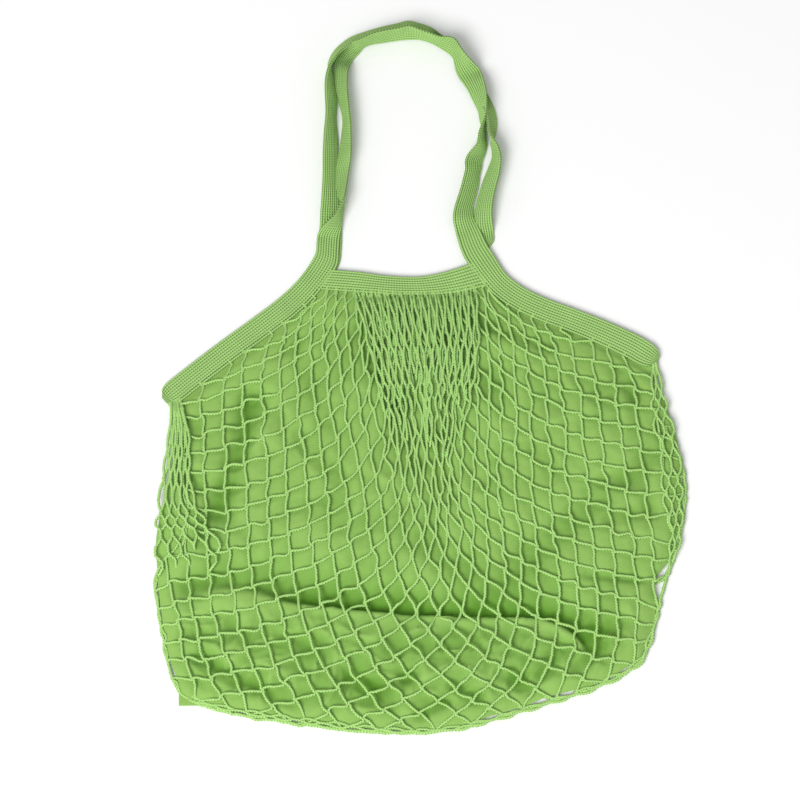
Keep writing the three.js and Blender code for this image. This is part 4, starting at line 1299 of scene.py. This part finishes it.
def cord_material(colour, groups):
    """Knitted cotton cord: painted shade in the grooves of its stitch chain, painted light on its raised
    stitches, and a little uneven.
    """
    material, tree, shader, bump = cloth_material("net_cord", 0.8, 0.1)
    chain = place_group(tree, groups["cord"])
    fibre = place_group(tree, groups["fibre"], Fine=700.0, Broad=30.0)
    # Painted shade and light: the colour runs from dark in the chain's grooves to pale on its raised
    # stitches
    body = mixed(tree, chain.outputs[0], shaded(colour, 0.3), shaded(colour, 1.3))
    uneven = mixed(tree, fibre.outputs[0], shaded(colour, 0.82), shaded(colour, 1.15))
    tree.links.new(mixed(tree, 0.3, body, uneven), shader.inputs["Base Color"])
    set_bump(tree, bump, chain.outputs[0], 0.7, 0.5 * MM)
    return material


def tape_material(colour, groups, stitches_per_metre):
    """Knitted tape: painted shade in rows of small gaps between its wales and in the grooves of its
    stitches, painted light on their raised tops, and an uneven dye.
    """
    material, tree, shader, bump = cloth_material("knitted_tape", 0.85, 0.1)
    knit = place_group(tree, groups["knit"], Stitches_per_metre=stitches_per_metre)
    fibre = place_group(tree, groups["fibre"], Fine=600.0, Broad=70.0)
    uneven = mixed(tree, fibre.outputs[0], shaded(colour, 0.62), shaded(colour, 1.4))
    # Painted shade and light: darker where the knit is low and paler on its raised stitches
    with_stitch_shade = mixed(tree, knit.outputs["Height"], shaded(colour, 0.6), shaded(colour, 1.3))
    body = mixed(tree, 0.45, with_stitch_shade, uneven)
    # Painted shade in the gaps between stitches, nearly black
    with_gap_shade = mixed(tree, knit.outputs["Gap shade"], body, shaded(colour, 0.08))
    tree.links.new(with_gap_shade, shader.inputs["Base Color"])
    set_bump(tree, bump, knit.outputs["Height"], 0.8, 0.6 * MM)
    return material


def lining_material(colour, groups):
    """Plain woven cotton: fine threads, a soft uneven dye, and painted shade in the hollows of folds, where
    the cloth turns darker and greener.
    """
    material, tree, shader, bump = cloth_material("lining_cloth", 0.9, 0.05)
    weave = place_group(tree, groups["weave"])
    fibre = place_group(tree, groups["fibre"], Fine=500.0, Broad=42.0)
    uneven = mixed(tree, fibre.outputs[0], shaded(colour, 0.86), shaded(colour, 1.18))
    faint = math_node(tree, "MULTIPLY", weave.outputs[0], 0.12)
    threads = mixed(tree, faint, uneven, shaded(colour, 0.7))
    # Painted shade: where the cloth sinks into folds it is darkened towards a deep green, by the mask that
    # the lining operator writes on its points
    painted_fold_shade = tree.nodes.new("ShaderNodeAttribute")
    painted_fold_shade.attribute_name = "painted_fold_shade"
    with_fold_shade = mixed(tree, painted_fold_shade.outputs["Fac"], threads, shaded(colour, 0.42, 0.60, 0.26))
    tree.links.new(with_fold_shade, shader.inputs["Base Color"])
    set_bump(tree, bump, weave.outputs[0], 0.25, 0.2 * MM)
    return material


def shared_groups():
    """The shader groups, made once and found again by name."""
    makers = {"fibre": ("fibre_variation", fibre_group), "knit": ("knit_stitches", knit_group),
              "cord": ("cord_chain", cord_group), "weave": ("plain_weave", weave_group)}
    return {key: bpy.data.node_groups.get(name) or make() for key, (name, make) in makers.items()}


# Settings


def linear(red, green, blue):
    """A colour given as 0 to 255 display values, as the linear values that shaders use."""
    share = np.array([red, green, blue]) / 255
    return tuple(np.where(share <= 0.04045, share / 12.92, ((share + 0.055) / 1.055) ** 2.4))


class MARKETBAG_PG_net(bpy.types.PropertyGroup):
    """Sizes and colour of the net"""

    radius: bpy.props.FloatProperty(
        name="Cord radius", description="Half the thickness of a net cord", default=1.12 * MM,
        min=0.3 * MM, max=3 * MM, unit="LENGTH")
    junction: bpy.props.FloatProperty(
        name="Junction", description="How far two cords run side by side where they join",
        default=1.6 * MM, min=0.0, max=10 * MM, unit="LENGTH")
    slack: bpy.props.FloatProperty(
        name="Slack", description="How far a cord strays from its straight line", default=0.75 * MM,
        min=0.0, max=3 * MM, unit="LENGTH")
    colour: bpy.props.FloatVectorProperty(
        name="Colour", description="Colour of the net cord", subtype="COLOR", size=3,
        default=linear(161, 203, 117), min=0, max=1)


class MARKETBAG_PG_lining(bpy.types.PropertyGroup):
    """Sizes and colour of the lining"""

    press: bpy.props.FloatProperty(
        name="Press", description="How deep the cords press into the cloth", default=1.0 * MM,
        min=0.0, max=4 * MM, unit="LENGTH")
    crumple: bpy.props.FloatProperty(
        name="Crumple", description="Share of the cloth's wrinkles", default=1.0, min=0, max=2)
    colour: bpy.props.FloatVectorProperty(
        name="Colour", description="Colour of the lining cloth", subtype="COLOR", size=3,
        default=linear(142, 183, 94), min=0, max=1)


class MARKETBAG_PG_tapes(bpy.types.PropertyGroup):
    """Sizes and colour of the knitted tapes"""

    thickness: bpy.props.FloatProperty(
        name="Thickness", description="Thickness of the tape", default=TAPE_THICKNESS,
        min=0.5 * MM, max=5 * MM, unit="LENGTH")
    width: bpy.props.FloatProperty(
        name="Handle width", description="Full width of the tape in the handles", default=18.4 * MM,
        min=8 * MM, max=30 * MM, unit="LENGTH")
    rib: bpy.props.FloatProperty(
        name="Rib", description="How deep the grooves between wales are", default=0.42 * MM,
        min=0.0, max=1 * MM, unit="LENGTH")
    bow: bpy.props.FloatProperty(
        name="Bow", description="How far a handle bows across where it stands on edge",
        default=1.4 * MM, min=0.0, max=4 * MM, unit="LENGTH")
    stitches: bpy.props.FloatProperty(
        name="Stitches", description="Stitches per metre along the tape", default=460, min=100, max=900)
    colour: bpy.props.FloatVectorProperty(
        name="Colour", description="Colour of the tape", subtype="COLOR", size=3,
        default=linear(160, 201, 118), min=0, max=1)


SETTINGS = {
    "market_bag_net": MARKETBAG_PG_net,
    "market_bag_lining": MARKETBAG_PG_lining,
    "market_bag_tapes": MARKETBAG_PG_tapes,
}


# Operators


def corner_heights(radius):
    """Heights of the cord centres at the net's corners on the front: the front's own height less a
    share of the lining's folds, a low level round the sides and bottom, and the tapes' level where
    the net is sewn into them. Next to the gathered cords the edge keeps the front's height."""
    flat = LATTICE["places"].reshape(-1, 2)
    depth, _ = roll_step(flat)
    inward = depth_inside(flat, OUTLINE)
    dip = NET_DIP * (fold_depth(flat) + depth) * np.clip(inward / NET_DIP_REACH, 0, 1)
    shape = LATTICE["places"].shape[:2]
    heights = (front_height(flat) - dip - radius).reshape(shape)
    at_side = LATTICE["edge"] & (inward.reshape(shape) < 2 * MM)
    sewn = at_side & LATTICE["sewn"]
    return np.where(sewn, SEWN_FRONT_LEVEL, np.where(at_side, SIDE_LEVEL, heights))


class MARKETBAG_OT_net(bpy.types.Operator):
    """Builds the net: its front, its back, and the narrow cells gathered at its corners, rim and edge"""

    bl_idname = "market_bag.net"
    bl_label = "Net"

    def execute(self, context):
        size = context.scene.market_bag_net
        radius = size.radius
        material = cord_material(tuple(size.colour), shared_groups())
        front = corner_heights(radius)
        back_edge = np.where(LATTICE["edge"], np.minimum(front, SIDE_LEVEL), radius)
        back = np.where(LATTICE["sewn"], SEWN_BACK_LEVEL, back_edge)
        parts = []
        for name, levels, seed, stub_level in (
            ("net_front", front, 11, STUB_FRONT_LEVEL), ("net_back", back, 13, SEWN_BACK_LEVEL),
        ):
            cords = lattice_cords(LATTICE, levels, radius, size.junction, seed, size.slack)
            stubs = tape_stubs(LATTICE, levels, stub_level)
            parts.append((name, np.concatenate([cords, stubs]), seed))
        for seed, (name, bundle) in enumerate(BUNDLES.items(), BUNDLE_FIRST_SEED):
            parts.append((name, bundle_cords(bundle, radius, seed), seed))
        for name, paths, seed in parts:
            piece = tubes(name, paths, cord_radii(paths, radius, seed), CORD_SIDES)
            dress(piece, material, "net_cotton", "net")
        return {"FINISHED"}


class MARKETBAG_OT_lining(bpy.types.Operator):
    """Builds the lining: a sewn cloth pouch with its folds, pressed in by the net's cords"""

    bl_idname = "market_bag.lining"
    bl_label = "Lining"

    def execute(self, context):
        size = context.scene.market_bag_lining
        cord = context.scene.market_bag_net.radius
        plan = coons_patch(
            LINING_TOP, LINING_BOTTOM, LINING_LEFT, LINING_RIGHT, LINING_ACROSS, LINING_DOWN)
        flat = plan.reshape(-1, 2)
        rows, columns = plan.shape[:2]
        v, u = np.meshgrid(np.linspace(0, 1, rows), np.linspace(0, 1, columns), indexing="ij")
        to_seam = np.minimum(np.minimum(u, 1 - u) * POUCH_SIZE[0], (1 - v) * POUCH_SIZE[1]).ravel()
        past_seam = 1 - np.exp(-to_seam / SEAM_REACH)
        front, painted_fold_shade = lining_front(flat, past_seam, v.ravel() < MOUTH_SHARE, size, cord)
        back = lining_back(flat, past_seam)
        points = np.vstack([np.column_stack([flat, front]), np.column_stack([flat, back])])
        # The mask of painted shade in the folds, on the pouch's front only
        values = {"painted_fold_shade": np.concatenate([painted_fold_shade, 0 * painted_fold_shade])}
        pouch = new_piece("lining_pouch", points, pouch_faces(rows, columns), values=values)
        dress(pouch, lining_material(tuple(size.colour), shared_groups()), "lining_cloth", "lining")
        return {"FINISHED"}


class MARKETBAG_OT_tapes(bpy.types.Operator):
    """Builds the knitted tapes: both handles with their shoulders, and the two rim bands"""

    bl_idname = "market_bag.tapes"
    bl_label = "Tapes"

    def execute(self, context):
        size = context.scene.market_bag_tapes
        thickness = size.thickness
        material = tape_material(tuple(size.colour), shared_groups(), size.stitches)
        front = tape_edges(FRONT_HANDLE, FRONT_TAPE_LEVEL, size.width, thickness)
        back = tape_edges(BACK_HANDLE, BACK_TAPE_LEVEL, size.width, thickness)
        front_rim = rim_edges(FRONT_TAPE_LEVEL, thickness)
        back_rim = rim_edges(BACK_TAPE_LEVEL, thickness)
        for name, node, edges, bow, wales, folds in (
            ("tape_front", "handle_front", front, size.bow, WALES, True),
            ("tape_back", "handle_back", back, size.bow, WALES, False),
            ("rim_band_front", "rim_front", front_rim, 0, WALES - 1, False),
            ("rim_band_back", "rim_back", back_rim, 0, WALES - 1, False),
        ):
            piece = tape_piece(name, *edges, thickness, bow, wales, size.rib, folds)
            dress(piece, material, "knitted_tape", node)
        return {"FINISHED"}


# Floor and light: half the floor's width, how far it lies under the bag, and its reflectance
FLOOR_HALF = 4.0
FLOOR_BELOW = 0.2 * MM
FLOOR_WHITE = 0.93
ROOM_LIGHT = 0.5
KEY_LIGHT_AT = (-1.7, -2.9, 3.6)
KEY_LIGHT_AIM = (0, -0.05, 0)
KEY_LIGHT_SIZE = 2.4
KEY_LIGHT_POWER = 220
CAMERA_CLIP = 50


def aimed(item, place, aim):
    """Puts a camera or light at a place, looking at a point."""
    item.location = place
    item.rotation_euler = (Vector(aim) - Vector(place)).to_track_quat("-Z", "Y").to_euler()


class MARKETBAG_OT_stage(bpy.types.Operator):
    """Builds the pale floor, the soft lights and the camera"""

    bl_idname = "market_bag.stage"
    bl_label = "Stage"

    def execute(self, context):
        scene = context.scene
        corners = FLOOR_HALF * np.array([[-1, -1, 0], [1, -1, 0], [1, 1, 0], [-1, 1, 0]])
        corners[:, 2] = CAD_BOX[0].z - FLOOR_BELOW
        floor = new_piece("floor", corners, [np.array([[0, 1, 2, 3]])])
        paint = bpy.data.materials.new("pale_floor")
        paint.use_nodes = True
        shader = paint.node_tree.nodes["Principled BSDF"]
        shader.inputs["Base Color"].default_value = (FLOOR_WHITE, FLOOR_WHITE, FLOOR_WHITE, 1)
        shader.inputs["Roughness"].default_value = 0.9
        shader.inputs["Specular IOR Level"].default_value = 0.1
        floor.data.materials.append(paint)
        world = bpy.data.worlds.new("soft_room")
        world.use_nodes = True
        background = world.node_tree.nodes["Background"]
        background.inputs["Color"].default_value = (1, 1, 1, 1)
        background.inputs["Strength"].default_value = ROOM_LIGHT
        scene.world = world
        lamp = bpy.data.lights.new("key_light", "AREA")
        lamp.size = KEY_LIGHT_SIZE
        lamp.energy = KEY_LIGHT_POWER
        light = bpy.data.objects.new("key_light", lamp)
        scene.collection.objects.link(light)
        aimed(light, KEY_LIGHT_AT, KEY_LIGHT_AIM)
        lens = bpy.data.cameras.new("camera")
        lens.lens = CAMERA_LENS
        lens.sensor_width = CAMERA_SENSOR
        lens.clip_end = CAMERA_CLIP
        camera = bpy.data.objects.new("camera", lens)
        scene.collection.objects.link(camera)
        aimed(camera, CAMERA_AT, CAMERA_AIM)
        scene.camera = camera
        scene.view_settings.view_transform = "Standard"
        return {"FINISHED"}


class MARKETBAG_PT_panel(bpy.types.Panel):
    """Lists the bag's settings and the buttons that build it"""

    bl_idname = "MARKETBAG_PT_panel"
    bl_label = "Mesh Market Bag"
    bl_space_type = "VIEW_3D"
    bl_region_type = "UI"
    bl_category = "Bag"

    def draw(self, context):
        layout = self.layout
        for key, group in SETTINGS.items():
            box = layout.box()
            settings = getattr(context.scene, key)
            for label in group.__annotations__:
                box.prop(settings, label)
        for operator in OPERATORS:
            layout.operator(operator.bl_idname)


OPERATORS = (MARKETBAG_OT_net, MARKETBAG_OT_lining, MARKETBAG_OT_tapes, MARKETBAG_OT_stage)
CLASSES = (*SETTINGS.values(), *OPERATORS, MARKETBAG_PT_panel)


def register():
    """Registers the classes and hangs the settings on the scene."""
    for cls in CLASSES:
        bpy.utils.register_class(cls)
    for key, group in SETTINGS.items():
        setattr(bpy.types.Scene, key, bpy.props.PointerProperty(type=group))


def unregister():
    """Takes the settings off the scene and unregisters the classes."""
    for key in SETTINGS:
        delattr(bpy.types.Scene, key)
    for cls in reversed(CLASSES):
        bpy.utils.unregister_class(cls)


def main():
    """Registers the classes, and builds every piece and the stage."""
    register()
    bpy.ops.market_bag.net()
    bpy.ops.market_bag.lining()
    bpy.ops.market_bag.tapes()
    bpy.ops.market_bag.stage()


if __name__ == "__main__":
    main()
